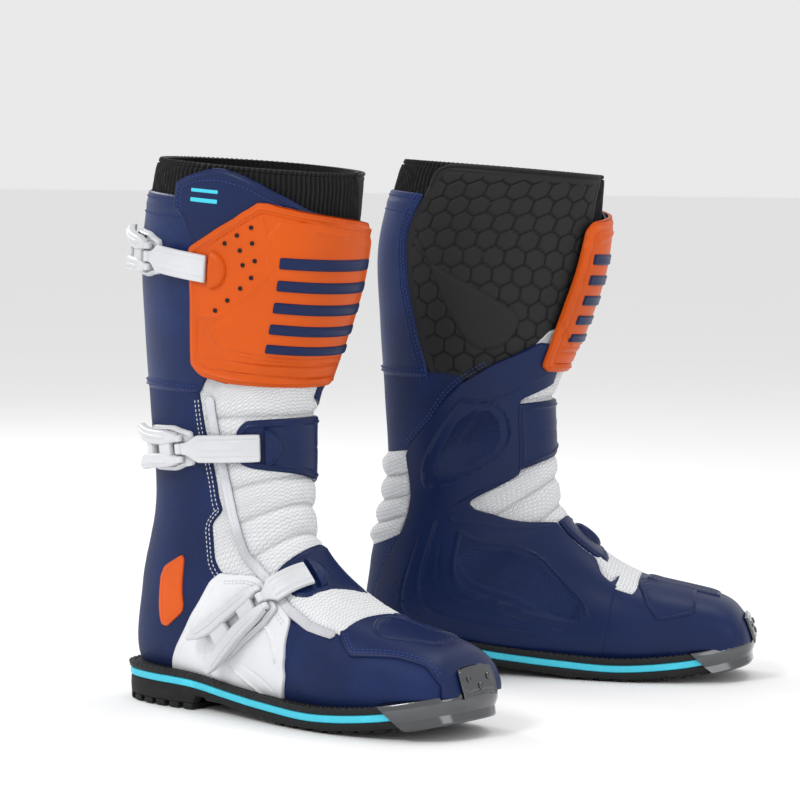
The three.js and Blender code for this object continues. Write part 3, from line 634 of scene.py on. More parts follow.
class Finish:
    def __init__(self, name, **constants):
        self.material = bpy.data.materials.new(name)
        self.material.use_nodes = True
        self.tree = self.material.node_tree
        self.shader = self.tree.nodes["Principled BSDF"]
        self.put(self.shader, constants)

    def put(self, node, values):
        for key, value in values.items():
            socket = node.inputs[key if isinstance(key, int) else key.replace("_", " ")]
            if isinstance(value, Wire):
                self.tree.links.new(value.socket, socket)
            elif socket.type == "RGBA" and len(value) == 3:
                socket.default_value = (*value, 1.0)
            else:
                socket.default_value = value

    def node(self, kind, settings=None, values=None, out=0):
        node = self.tree.nodes.new(kind)
        for key, value in (settings or {}).items():
            if key == "stops":
                for i, (at, colour) in enumerate(value):
                    stop = node.color_ramp.elements[i] if i < 2 else node.color_ramp.elements.new(at)
                    stop.position, stop.color = at, (*colour, 1.0)
            else:
                setattr(node, key, value)
        self.put(node, values or {})
        return Wire(self, node.outputs[out])

    def place(self, scale=1.0):  # object coordinates, scaled
        spot = self.node("ShaderNodeTexCoord", out="Object")
        return self.node("ShaderNodeMapping", {}, {"Vector": spot, "Scale": (scale,) * 3})

    def skin(self):  # the panel's own coordinates, in millimetres
        spot = self.node("ShaderNodeUVMap", {"uv_map": "skin"})
        split = self.node("ShaderNodeSeparateXYZ", {}, {0: spot}).socket.node
        return Wire(self, split.outputs[0]) * 1000.0, Wire(self, split.outputs[1]) * 1000.0

    def share(self, name):  # a number stored on the mesh
        return self.node("ShaderNodeAttribute", {"attribute_name": name}, out="Fac")

    def noise(self, scale, detail=3.0, rough=0.5, spot=None):
        return self.node("ShaderNodeTexNoise", {}, {"Vector": spot or self.place(), "Scale": scale,
                                                    "Detail": detail, "Roughness": rough})

    def pebbles(self, scale, feature="F1"):
        return self.node("ShaderNodeTexVoronoi", {"feature": feature},
                         {"Vector": self.place(), "Scale": scale}, out="Distance")

    def mix(self, factor, first, second):
        return self.node("ShaderNodeMix", {"data_type": "RGBA"}, {0: factor, 6: first, 7: second}, out=2)

    def bump(self, height, depth, before=None):  # depth in metres
        values = {"Height": height, "Distance": depth, "Strength": 1.0}
        if before:
            values["Normal"] = before
        return self.node("ShaderNodeBump", {}, values, out="Normal")

    def wear(self, **values):
        self.put(self.shader, values)
        return self.material


def shade(colour, factor):
    return tuple(channel * factor for channel in colour)


paints = {
    "navy": (0.0042, 0.0140, 0.068), "white": (0.62, 0.63, 0.65), "orange": (0.60, 0.082, 0.0008),
    # steel is set far darker than bare steel, a painted reflection of dark surroundings
    "cyan": (0.06, 0.56, 0.72), "black": (0.0065, 0.0065, 0.0072), "steel": (0.13, 0.133, 0.14),
    "flash": (0.66, 0.09, 0.001), "meshWhite": (0.80, 0.81, 0.83),
}


def leatherFinish(name, colour, grain, depth, rough, sheen):
    hide = Finish(name, Sheen_Weight=sheen, Sheen_Roughness=0.4, Sheen_Tint=(0.45, 0.55, 0.95),
                  Specular_IOR_Level=0.22)
    cloud, fine = hide.noise(26.0, 4.0), hide.noise(grain * 2.3, 4.0, 0.65)
    cells = hide.pebbles(grain)
    edge = hide.share("wear")
    tint = hide.mix(cloud.step(0.32, 0.68), shade(colour, 0.84), shade(colour, 1.22))
    tint = hide.mix(fine.step(0.42, 0.78) * 0.45, tint, tuple(c * 1.7 + 0.012 for c in colour))
    tint = hide.mix(edge * 0.35, tint, shade(colour, 0.55))
    relief = hide.bump(cells * 0.55 + fine * 0.45, depth)
    return hide.wear(Base_Color=tint, Roughness=fine * 0.22 + (rough - 0.1), Normal=relief)


def mouldedFinish(name, colour, rough, coat=0.0, weave=0.0, dirt=0.3):
    shell = Finish(name, Coat_Weight=coat, Coat_Roughness=0.25, Specular_IOR_Level=0.24)
    cloud, fine = shell.noise(18.0, 3.0), shell.noise(1900.0, 2.0)
    scuff = shell.noise(95.0, 6.0, 0.7).step(0.60, 0.74)
    edge, tone = shell.share("wear"), shell.share("tone")
    tint = shell.mix(cloud.step(0.3, 0.7), shade(colour, 0.93), shade(colour, 1.05))
    tint = shell.mix(edge * dirt, tint, shade(colour, 0.66))
    tint = shell.mix(scuff * 0.08, tint, tuple(c * 0.9 + 0.02 for c in colour))
    height = fine * 0.2
    if weave:
        across, up = shell.skin()
        dots = (across * (math.tau / 1.7)).maths("SINE") * (up * (math.tau / 1.7)).maths("SINE")
        height = height + dots * tone * 3.2
        tint = shell.mix(tone * (dots * 0.5 + 0.5).clip() * weave, tint,
                         tuple(c * 2.6 + 0.02 for c in colour))
    return shell.wear(Base_Color=tint, Roughness=(cloud * 0.1 + scuff * 0.16 + (rough - 0.08)).clip(),
                      Normal=shell.bump(height, 0.00012))


def meshFinish(name, colour):  # knitted diamonds that follow the panel
    knit = Finish(name, Sheen_Weight=0.15, Sheen_Roughness=0.5)
    across, up = knit.skin()
    zigzag = (across / 2.2).maths("PINGPONG", 1.0) * 1.5
    rib = ((up + zigzag) * (math.tau / 3.1)).maths("SINE") * 0.5 + 0.5
    thread = ((across * 2.0 + up) * (math.tau / 1.3)).maths("SINE") * 0.5 + 0.5
    # painted shade: the low valleys of the knit rib are darkened to 0.78 of the white
    tint = knit.mix(rib.step(0.05, 0.55), shade(colour, 0.78), colour)
    tint = knit.mix(knit.noise(40.0, 3.0).step(0.45, 0.75) * 0.18, tint, shade(colour, 0.72))
    # painted shade: tone darkens the tongue's quilt seams and the bellows' fold valleys to 0.45 of the
    # white
    tint = knit.mix(knit.share("tone") * 0.75, tint, shade(colour, 0.45))
    return knit.wear(Base_Color=tint, Roughness=0.9 - rib * 0.12,
                     Normal=knit.bump(rib + thread * 0.25, 0.00045))


def gripFinish(name, colour):  # hexagons are in the mesh: tone is 1 in their grooves, which get painted shade
    grip = Finish(name, Specular_IOR_Level=0.3)
    fine, speck = grip.noise(1500.0, 3.0), grip.noise(420.0, 4.0)
    tone = grip.share("tone")
    # painted shade: the grooves and the plain band's rim groove go to 0.35 of the black, the faces
    # between them to 1.9 times it
    tint = grip.mix(tone.clip(), tuple(c * 1.9 for c in colour), shade(colour, 0.35))
    return grip.wear(Base_Color=tint, Roughness=0.52 + fine * 0.16 + tone * 0.2,
                     Normal=grip.bump(fine * 0.5 + speck * 0.5, 0.00016))


def ribbedFinish(name, colour):
    elastic = Finish(name, Sheen_Weight=0.08, Sheen_Roughness=0.4, Specular_IOR_Level=0.25)
    across, up = elastic.skin()
    knit = (up * (math.tau / 1.1)).maths("SINE") * (across * (math.tau / 1.4)).maths("SINE")
    # painted light and shade: on the collar, tone is the pleat height, which lightens the ridges and
    # darkens the valleys and the seam. Pieces with no tone stay at the dark end
    tint = elastic.mix(elastic.share("tone"), shade(colour, 0.45), tuple(c * 2.1 for c in colour))
    return elastic.wear(Base_Color=tint, Roughness=0.78 + knit * 0.08,
                        Normal=elastic.bump(knit, 0.0002))


def rubberFinish(name, colour, rough=0.62):
    rubber = Finish(name, Specular_IOR_Level=0.35)
    fine, dust = rubber.noise(700.0, 4.0), rubber.noise(60.0, 5.0, 0.65).step(0.5, 0.75)
    tint = rubber.mix(dust * 0.35, colour, tuple(c * 1.6 + 0.008 for c in colour))
    return rubber.wear(Base_Color=tint, Roughness=rough + fine * 0.14 - dust * 0.08,
                       Normal=rubber.bump(fine, 0.0002))


def steelFinish(name, colour):
    # the steel colour given is darkened as a painted dark reflection; smudges darken it a little more
    steel = Finish(name, Metallic=1.0)
    streak = steel.node("ShaderNodeMapping", {}, {"Vector": steel.place(), "Scale": (30, 30, 900)})
    scratch = steel.noise(1.0, 5.0, 0.6, streak)
    smudge = steel.noise(70.0, 3.0).step(0.4, 0.7)
    tint = steel.mix(smudge * 0.3, colour, shade(colour, 0.78))
    return steel.wear(Base_Color=tint, Roughness=scratch * 0.10 + smudge * 0.08 + 0.07,
                      Normal=steel.bump(scratch, 0.00002))


def floorFinish(name, colour):
    paper = Finish(name, Specular_IOR_Level=0.1)
    cloud = paper.noise(1.4, 2.0)
    return paper.wear(Base_Color=paper.mix(cloud, shade(colour, 0.98), colour),
                      Roughness=cloud * 0.05 + 0.85)


looks = {
    "suede": leatherFinish("navy_suede", paints["navy"], 620.0, 0.00034, 0.58, 0.03),
    "leather": leatherFinish("navy_leather", shade(paints["navy"], 1.2), 420.0, 0.00022, 0.42, 0.04),
    "navyShell": mouldedFinish("navy_shell", paints["navy"], 0.44, weave=0.55),
    "orangeShell": mouldedFinish("orange_shell", paints["orange"], 0.46),
    "whiteShell": mouldedFinish("white_shell", paints["white"], 0.36, coat=0.15, dirt=0.16),
    # painted light: the ankle panel's white is raised 1.22 times above the buckles' white, to make up for
    # the shade the panel sits in
    "brightenedWhitePanel": mouldedFinish("white_panel_brightened", shade(paints["white"], 1.22), 0.5, dirt=0.2),
    "mesh": meshFinish("white_mesh", paints["meshWhite"]),
    "piping": leatherFinish("grey_piping", (0.50, 0.51, 0.54), 900.0, 0.0001, 0.5, 0.0),
    "grip": gripFinish("black_grip", paints["black"]),
    "elastic": ribbedFinish("black_elastic", paints["black"]),
    "lining": ribbedFinish("dark_lining", (0.03, 0.03, 0.033)),
    "rubber": rubberFinish("black_rubber", shade(paints["black"], 0.8)),
    "welt": rubberFinish("welt_rubber", shade(paints["black"], 1.1), 0.55),
    "stripe": rubberFinish("cyan_stripe", paints["cyan"], 0.42),
    "steel": steelFinish("polished_steel", paints["steel"]),
    "insole": rubberFinish("insole_foam", (0.03, 0.03, 0.034), 0.8),
    # painted shade: the vents are near-black discs that stand for the shade inside the vent holes
    "vent": rubberFinish("vent_hole_shade", (0.004, 0.004, 0.006), 0.7),
    "floor": floorFinish("studio_floor", (0.92, 0.92, 0.92)),
    "print": mouldedFinish("cyan_print", paints["cyan"], 0.5, dirt=0.0),
    "flash": mouldedFinish("orange_flash", paints["flash"], 0.42, dirt=0.2),
    "navyThread": mouldedFinish("navy_thread", (0.03, 0.06, 0.22), 0.7, dirt=0.0),
    "whiteThread": mouldedFinish("white_thread", (0.62, 0.62, 0.64), 0.7, dirt=0.0),
    "orangeThread": mouldedFinish("orange_thread", (0.55, 0.07, 0.005), 0.7, dirt=0.0),
    "blackThread": mouldedFinish("black_thread", (0.03, 0.03, 0.032), 0.7, dirt=0.0),
}
print("finishes made")


def boxMiddle(node):
    low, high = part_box(node)
    return np.array((low + high) / 2)


def standOf(side):  # the matrix from a boot's own millimetres to the shared frame
    sign = 1 if side == "left" else -1
    turn = Matrix.Rotation(math.radians(sign * stance["toeOut"]), 4, "Z")
    shrink = Matrix.Diagonal((stance["mm"], sign * stance["mm"], stance["mm"], 1))
    outline = np.array([(turn @ shrink @ Vector((x, y, 0)))[:2] for x, y in planLine])
    middle = (outline.min(axis=0) + outline.max(axis=0)) / 2
    shift = boxMiddle(f"{side}_midsole")[:2] - middle
    return Matrix.Translation((shift[0], shift[1], 0)) @ turn @ shrink


stands = {side: standOf(side) for side in sideNames}
made = []


def place(name, form, look, body, standsFor=(), sharp=40.0, fill=None):
    for side in sideNames:
        mesh = bpy.data.meshes.new(f"{side}_{name}_look")
        form.to_mesh(mesh)
        mesh.transform(stands[side])
        if side == "right":
            mesh.flip_normals()
        mesh.shade_smooth()
        mesh.set_sharp_from_angle(angle=math.radians(sharp))
        mesh.materials.append(looks[look])
        thing = bpy.data.objects.new(f"{side}_{name}_look", mesh)
        bpy.context.scene.collection.objects.link(thing)
        if body == "flex":
            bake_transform(thing)
        else:
            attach(thing, f"{side}_{body}")
        if standsFor:
            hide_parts(*(f"{side}_{node}" for node in standsFor))
        made.append(thing)
    form.free()


place("outsole", makeOutsole(), "rubber", "foot", ["outsole"])
place("stripe", makeStripe(), "stripe", "foot", ["midsole"])
place("welt", makeWelt(), "welt", "foot", ["welt"])
place("welt_stitching", sew([[(k / 60, 2.4) for k in range(61)]], onWelt, -0.15, 4.2, 3.0, 0.55),
      "blackThread", "foot")
place("toe_guard", makeToeGuard(), "steel", "foot", ["toe_guard"], sharp=28.0)
flange = {
    "rows": [[0.02, -62, 62], [0.3, -48, 48], [0.7, -34, 34], [0.97, -25, 25]],
    "grid": (20, 36), "lift": 5.2, "thick": 1.8, "roll": 0.9, "lips": [(3.0, 2.0, -0.5)],
}
place("toe_guard_flange", layPanel(flange), "steel", "foot")
guardScrews = {"spots": [(0.62, -18), (0.62, 18), (0.35, 0)], "radius": 2.6, "high": 1.1}


def makeScrews(screws, lift):
    radius, high = screws["radius"], screws["high"]
    profile = [(0, high * 0.55), (radius * 0.35, high * 0.55), (radius * 0.42, high * 0.95),
               (radius * 0.8, high), (radius, high * 0.5), (radius, -1.0), (0, -1.0)]
    heads = []
    for t, deg in screws["spots"]:
        spot, out = onLast([t], [deg])
        heads.append(turned(profile, spot[0] + out[0] * lift, out[0], 18))
    return joined(*heads)


place("toe_guard_screws", makeScrews(guardScrews, 5.2), "steel", "foot", sharp=30.0)
print("soles made")

toeBox = {
    "rows": [[0, -172, 172], [0.5, -165, 165], [3.1, -150, 150], [4.0, -150, 150]],
    "grid": (70, 170), "lift": 0.0, "thick": 2.2, "roll": 0.8, "onSole": True,
}
place("toe_box", layPanel(toeBox), "suede", "foot", ["toe_box"])

quarter = {
    "rows": [[3.74, 62, 306], [4.2, 60, 300], [4.9, 54, 290], [5.7, 60, 272], [6.14, 69, 272],
             [6.5, 72, 272], [7.2, 74, 272], [7.36, 67, 272], [7.66, 71, 272], [8.28, 76, 272],
             [8.72, 79, 272], [9.2, 81, 272], [9.36, 82, 272]],
    "grid": (130, 130), "lift": 0.3, "thick": 2.6, "roll": 1.2, "onSole": True, "crowd": 0.1,
}
quarterFront = [(6.14, 69), (6.5, 72), (7.2, 74), (7.36, 67), (7.66, 71), (8.28, 76), (8.72, 79),
                (9.16, 81)]
quarterSeams = [beside(quarterFront, -2.6), beside(quarterFront, -5.6)]
place("quarter", layPanel(quarter), "suede", "flex", ["heel_quarter", "shaft_quarter"])
place("quarter_stitching", sew(quarterSeams, lift=0.45), "whiteThread", "flex")

piping = {"path": [(9.2, 75), (8.54, 71), (8.0, 67), (7.38, 61), (6.46, 54), (5.72, 49.5), (5.04, 50),
                   (4.24, 56), (3.64, 56), (3.1, 49)], "wide": 3.7, "high": 2.0, "lift": 0.9}
tongue = {
    "rows": [[3.0, -52, 56], [3.7, -54, 60], [4.2, -62, 62], [5.0, -76, 62], [5.7, -90, 66],
             [6.5, -94, 82], [7.2, -96, 84], [7.38, -94, 80], [8.0, -92, 82], [8.6, -92, 86],
             [9.15, -92, 90], [9.6, -60, 80], [10.2, -40, 66]],
    "quilt": [[(8.86, -92), (8.86, 78)], [(7.5, -92), (7.62, -20), (7.74, 64)],
              [(6.72, -92), (6.86, -18), (6.94, 58)], [(5.86, -88), (5.95, -15), (5.99, 50)],
              [(4.95, -70), (5.0, 0), (5.0, 48)], [(8.2, -92), (8.24, 70)]],
    "grid": (180, 124), "lift": -1.4, "thick": 3.4, "roll": 1.0, "puff": 4.3, "crowd": 0.1,
}


guardFront = [(3.36, -27), (3.5, -45), (3.76, -41), (4.02, -25), (5.5, -24), (6.12, -45), (6.82, -69),
              (7.1, -80), (7.28, -84), (7.34, -83), (7.44, -52), (7.66, -48), (8.66, -50),
              (8.88, -50), (9.16, -14), (9.56, -16), (9.96, -38)]  # the inner guard's front edge


def angleAlong(path, t):
    path = np.array(sorted(path))
    return np.interp(t, path[:, 0], path[:, 1])


def quilted(skin, spots, fromRim):  # padded in front of the piping, flat behind it
    ahead = (angleAlong(piping["path"], spots[:, 0]) - spots[:, 1]) * 0.9
    inward = (spots[:, 1] - angleAlong(guardFront, spots[:, 0])) * 0.9
    inward = np.where(spots[:, 0] < 3.4, 20, inward)
    face, _ = onLast(spots[:, 0], spots[:, 1])
    puff = smoothStep(ahead / 9) * (0.42 + 0.58 * smoothStep(inward / 8)) * tongue["puff"]
    tone = np.zeros(len(face))
    for seam in tongue["quilt"]:
        line = traced(onLast, softened(seam), 1.0)
        away = distanceTo(face, onLast(line[:, 0], line[:, 1])[0])
        puff *= 1 - 0.6 * np.exp(-(away / 3.4) ** 2) - 0.25 * np.exp(-(away / 9.0) ** 2)
        # tone marks the quilt seams, which the mesh finish darkens as painted shade
        tone = np.maximum(tone, np.exp(-(away / 1.1) ** 2))
    weave = 0.16 * np.sin(skin[:, 1] * math.tau / 4.0 + 1.4 * np.sin(skin[:, 0] * math.tau / 6.5))
    return puff + weave * smoothStep(fromRim / 3), tone


tongue["pattern"] = quilted
place("tongue", layPanel(tongue), "mesh", "flex", ["tongue"], fill=0.45)
place("piping", sweep(piping["path"], piping["wide"], piping["high"], lift=piping["lift"], gap=2.0),
      "piping", "flex")
pipingSeams = [beside(piping["path"], 5.6), beside(piping["path"], -0.2)]
place("piping_stitching", sew([pipingSeams[1]], lift=piping["lift"] + piping["high"], gap=3.6),
      "whiteThread", "flex")

bellows = {
    "rows": [[7.22, 163, 230], [7.5, 162, 232], [8.36, 162, 228]],
    "grid": (84, 60), "lift": 0.4, "thick": 2.6, "roll": 1.6, "folds": 4, "fold": 5.0,
}


def foldedBellows(skin, spots, fromRim):
    share = (spots[:, 0] - 7.22) / (8.36 - 7.22)
    puff = abs(np.sin(share * math.pi * bellows["folds"])) ** 0.7
    # tone marks the fold valleys, which the mesh finish darkens as painted shade
    tone = np.exp(-(puff / 0.25) ** 2)
    return puff * bellows["fold"] * smoothStep(fromRim / 8), tone


bellows["pattern"] = foldedBellows
place("rear_bellows", layPanel(bellows), "mesh", "flex", ["rear_bellows"], fill=0.5)

calf = {
    "rows": [[9.22, 81, 248], [9.5, 78, 244], [9.8, 62, 239], [10.54, 60, 230], [11.2, 60, 226],
             [11.44, 60, 228], [11.78, 60, 234]],
    "grid": (80, 110), "lift": 0.5, "thick": 2.8, "roll": 1.2, "soft": 6,
    "marks": [{"path": [(9.32, 76), (9.32, 248)], "wide": 7, "high": 1.3},
              {"path": [(11.6, 100), (11.6, 230)], "wide": 9, "high": 0.5}],
}
calfEdge = [(9.24, 248), (9.98, 237), (10.54, 230), (11.2, 226), (11.44, 228), (11.74, 234)]
calfSeams = ([beside([(9.32, 84), (9.32, 246)], k) for k in (-1.6, 1.6)]
             + [[(11.5, 100), (11.5, 228)], [(11.7, 100), (11.7, 230)]]
             + [beside(calfEdge, k) for k in (2.4, 5.0, 8.4)])
place("calf_panel", layPanel(calf), "leather", "shaft", ["calf_panel"])
place("calf_stitching", sew(calfSeams[:2], lift=1.95), "navyThread", "shaft")
place("calf_edge_stitching", sew(calfSeams[2:], lift=0.95), "navyThread", "shaft")

grip = {
    "rows": [[9.22, 247, 330], [9.98, 236, 332], [10.54, 229, 334], [11.2, 225, 336], [11.44, 227, 338],
             [11.78, 233, 340], [12.3, 238, 346], [12.62, 243, 348]],
    "grid": (150, 130), "lift": -0.5, "thick": 2.4, "roll": 1.4, "cell": 16.5, "groove": 0.75,
    "reach": 5.6, "lips": [(3.0, 3.4, 0.5)],
    "band": [(11.32, 233), (11.02, 230), (10.42, 290), (10.2, 298), (9.78, 288), (9.78, 268)],
}


def hexagons(skin, spots, fromRim):  # Y-shaped grooves where three hexagons meet
    cell = grip["cell"]
    rowGap = cell * math.sqrt(3) / 2
    near = []
    for shift in (-1, 0, 1):
        row = np.round(skin[:, 1] / rowGap) + shift
        offset = (row % 2) * cell / 2
        column = np.round((skin[:, 0] - offset) / cell)
        for step in (-1, 0, 1):
            cx, cy = (column + step) * cell + offset, row * rowGap
            near.append(np.hypot(skin[:, 0] - cx, skin[:, 1] - cy))
    near = np.sort(np.stack(near), axis=0)
    toEdge, toCorner = (near[1] - near[0]) / 2, (near[2] - near[0]) / 1.5
    line = smoothStep(1.6 - toEdge / grip["groove"]) * smoothStep((grip["reach"] - toCorner) / 1.5)
    path = softened(grip["band"], True)
    plain = insideOf(spots, path).astype(float)
    edge = traced(onLast, path, 1.0, True)
    face, _ = onLast(spots[:, 0], spots[:, 1])
    away = distanceTo(face, onLast(edge[:, 0], edge[:, 1])[0])
    line = line * (1 - plain) * smoothStep((fromRim - 5) / 3)
    rim = np.exp(-(away / 0.9) ** 2)
    # the tone returned marks the grooves and the rim groove, which the grip finish darkens as painted
    # shade
    return -0.65 * line + plain * 0.5 * smoothStep(away / 2) - rim * 0.4, np.maximum(line, rim * 0.6)


grip["pattern"] = hexagons
place("inner_calf_panel", layPanel(grip), "grip", "shaft", ["inner_calf_panel"])
place("inner_calf_binding", sweep([(11.86, 236), (12.3, 239), (12.6, 246), (12.66, 262), (12.66, 300),
                                   (12.66, 338), (12.6, 345)], 1.5, 1.5, lift=-0.6, gap=2.5),
      "lining", "shaft")

collar = {
    "rows": [[11.15, -180, 180], [12.2, -180, 180], [12.9, -180, 180]], "ring": True,
    "grid": (30, 700), "lift": -3.2, "thick": 2.6, "roll": 1.2, "crowd": 0.1, "pleats": 112,
    "depth": 1.5, "seam": 12.52,
}


def pleated(skin, spots, fromRim):
    wave = np.sin(np.radians(spots[:, 1]) * collar["pleats"] + 0.5 * np.sin(spots[:, 0] * 9))
    seam = np.exp(-((spots[:, 0] - collar["seam"]) / 0.035) ** 2)
    height = (wave * 0.5 + 0.5) ** 1.4
    # the tone returned is the pleat height: the elastic finish paints a painted highlight on the ridges
    # and painted shade in the valleys and at the seam
    return (height * (1 - 0.7 * seam) - 0.5 * seam) * collar["depth"], height * (1 - seam)


collar["pattern"] = pleated
place("collar", layPanel(collar), "elastic", "shaft", ["collar"], fill=0.3)
liner = {
    "rows": [[5.0, -180, 180], [8.0, -180, 180], [12.4, -180, 180]], "ring": True,
    "grid": (60, 90), "lift": -6.2, "thick": 2.2, "roll": 1.0, "crowd": 0.05,
}


def padding(skin, spots, fromRim):  # soft quilting of the inner sock
    wave = np.sin(skin[:, 1] * math.tau / 38) * np.sin(np.radians(spots[:, 1]) * 8)
    return -0.8 * wave, np.zeros(len(spots))


liner["pattern"] = padding
place("liner", layPanel(liner), "lining", "flex", ["liner"], fill=0.5)
print("upper made")

anklePanel = {
    "rows": [[3.76, 98, 160], [3.92, 84, 160], [4.06, 61, 160], [4.6, 56, 160], [5.3, 53, 160],
             [5.48, 54, 140], [5.7, 58, 101], [5.94, 64, 84], [6.14, 69, 75]],
    "grid": (110, 100), "lift": 2.4, "thick": 3.2, "roll": 1.5, "onSole": True, "soft": 6,
    "lips": [(6.0, 1.2, -0.35)],
    "marks": [
        {"area": [(5.05, 78), (4.62, 84), (4.86, 104), (5.24, 96)], "wide": 1.8, "high": -1.3},
        {"path": [(5.5, 66), (5.1, 72), (4.4, 76), (4.0, 92)], "wide": 3.4, "high": 1.4},
        {"path": [(5.36, 88), (5.2, 112), (4.9, 128)], "wide": 3.0, "high": 1.3},
        {"path": [(4.72, 110), (4.3, 118), (4.05, 126)], "wide": 3.0, "high": 1.2},
        {"path": [(4.5, 104), (4.12, 108), (3.95, 114)], "wide": 2.6, "high": -0.9},
    ],
}
ankleOuter = [(3.84, 100), (4.1, 63), (4.6, 57), (5.3, 54), (5.6, 58), (5.98, 67)]
# the ankle panel wears the brightened white, which is painted light
place("ankle_panel", layPanel(anklePanel), "brightenedWhitePanel", "foot", ["ankle_panel"])
place("ankle_stitching", sew([beside(ankleOuter[1:], -3.2), beside(ankleOuter[1:], -5.6)], lift=2.5),
      "whiteThread", "foot")

toeOverlay = {
    "rows": [[0.14, -160, 160], [0.5, -156, 150], [0.8, -152, 120], [0.96, -151, 68], [1.72, -150, 52],
             [2.26, -150, 54], [2.76, -150, 67], [3.06, -150, 44], [3.2, -150, 4],
             [3.34, -150, -20], [3.46, -150, -40]],
    "grid": (110, 130), "lift": 2.2, "thick": 2.2, "roll": 1.6, "onSole": True, "soft": 3,
    "crowd": 0.15,
}
toeEdge = [(0.86, 104), (0.96, 68), (1.72, 52), (2.26, 54), (2.76, 66), (3.02, 46)]
place("toe_overlay", layPanel(toeOverlay), "navyShell", "foot")
toeSeam = [(1.2, 62), *toeEdge[2:]]
place("toe_stitching", sew([beside(toeSeam, 2.6), beside(toeSeam, 4.8)], lift=2.3), "navyThread",
      "foot")

innerGuard = {
    "rows": [[3.36, -150, -27], [3.5, -150, -45], [3.76, -150, -41], [4.02, -151, -25],
             [5.5, -158, -24], [6.12, -155, -45], [6.82, -144, -69], [7.1, -134, -80],
             [7.28, -130, -84], [7.34, -129, -83], [7.44, -128, -52], [7.66, -128, -48],
             [8.3, -137, -50], [8.5, -124, -50], [8.66, -112, -50], [8.88, -104, -50],
             [9.16, -92, -14], [9.56, -73, -16], [9.96, -47, -38]],
    "grid": (190, 110), "lift": 2.7, "thick": 2.7, "roll": 1.8, "onSole": True, "soft": 4,
    "crowd": 0.12,
    "marks": [
        {"area": [(8.76, -88), (8.72, -69), (8.14, -66), (7.9, -95), (7.98, -112), (8.14, -111)],
         "wide": 1.8, "high": -0.9, "tone": 1, "soft": 1},
        {"path": [(8.92, -90), (8.86, -62), (8.1, -58), (7.76, -92), (7.84, -120), (8.2, -120),
                  (8.92, -90)], "wide": 3.2, "high": 1.5},
        {"area": [(6.62, -87), (5.56, -58), (3.98, -78), (3.86, -90), (3.96, -92), (5.54, -88)],
         "wide": 1.8, "high": -0.9, "tone": 1, "soft": 1},
        {"path": [(6.82, -88), (5.6, -52), (3.86, -74), (3.7, -94), (5.6, -94), (6.82, -88)],
         "wide": 3.2, "high": 1.4},
        {"path": [(6.74, -99), (5.94, -100), (4.62, -98), (3.9, -98)], "wide": 2.4, "high": -0.8},
        {"path": [(7.2, -104), (6.5, -110), (5.4, -112), (4.2, -106)], "wide": 3.4, "high": 0.9},
        {"path": [(7.05, -116), (6.3, -124), (5.6, -126)], "wide": 2.4, "high": -0.8},
        {"path": [(7.5, -60), (7.42, -84), (7.3, -96)], "wide": 2.8, "high": 0.8},
        {"path": [(7.12, -94), (6.74, -74), (6.05, -51), (5.6, -34)], "wide": 3.0, "high": 0.9},
        {"path": [(9.4, -30), (9.0, -60), (8.9, -72)], "wide": 2.4, "high": 0.6},
    ],
}
place("inner_guard", layPanel(innerGuard), "navyShell", "flex", ["inner_guard", "inner_shaft_guard"])
innerRear = [(9.5, -76), (9.12, -93), (8.66, -111), (8.36, -133)]
innerHeel = [(7.2, -130), (6.85, -141), (6.2, -151), (5.6, -155)]
place("inner_guard_stitching", sew([beside(innerRear, -2.8), beside(innerRear, -5.4),
                                    beside(innerHeel, -3.0), beside(innerHeel, -5.6)], lift=2.8),
      "navyThread", "flex")
heelDots = {"radius": 0.9, "spots": [(6.55 - 0.16 * row, -118 - 4.5 * k - 2 * (row % 2))
                                     for row in range(5) for k in range(3)]}


def makeDots(dots, lift, surface=onLast):  # small vent discs with a fine lip, painted near black as painted shade for the holes
    radius = dots["radius"]
    profile = [(0, 0.04), (radius * 0.7, 0.05), (radius * 0.9, 0.14), (radius, 0.1),
               (radius * 1.05, -0.5), (0, -0.5)]
    cups = []
    for t, deg in dots["spots"]:
        spot, out = surface(np.array([t]), np.array([deg]))
        cups.append(turned(profile, spot[0] + out[0] * lift, out[0], 10))
    return joined(*cups)


place("heel_vents", makeDots(heelDots, 2.74), "vent", "foot")

instep = {
    "rows": [[3.72, -22.5, -12], [3.95, -22.5, 10], [4.06, -22.5, 37], [4.3, -22.5, 45],
             [4.9, -22.5, 46], [5.14, -22.5, 41], [5.3, -22.5, 12], [5.48, -22.5, -10]],
    "grid": (70, 70), "lift": 3.3, "thick": 2.6, "roll": 1.6, "lips": [(3.4, 3.4, 0.9)], "soft": 5,
}
midPlate = {
    "rows": [[7.56, -53, -14], [7.72, -53, 8], [7.9, -53, 32], [8.06, -53, 50], [8.2, -53, 57],
             [8.66, -53, 57], [8.82, -53, 49]],
    "grid": (60, 110), "lift": 3.4, "thick": 2.8, "roll": 1.8, "lips": [(4.2, 3.6, 1.1)], "soft": 7,
    "marks": [{"path": [(8.2, 14), (8.3, -48)], "wide": 2.0, "high": -0.5}],
}
place("instep_guard", layPanel(instep), "navyShell", "foot", ["instep_guard"])
place("mid_guard", layPanel(midPlate), "navyShell", "shaft", ["mid_guard"])
print("overlays made")

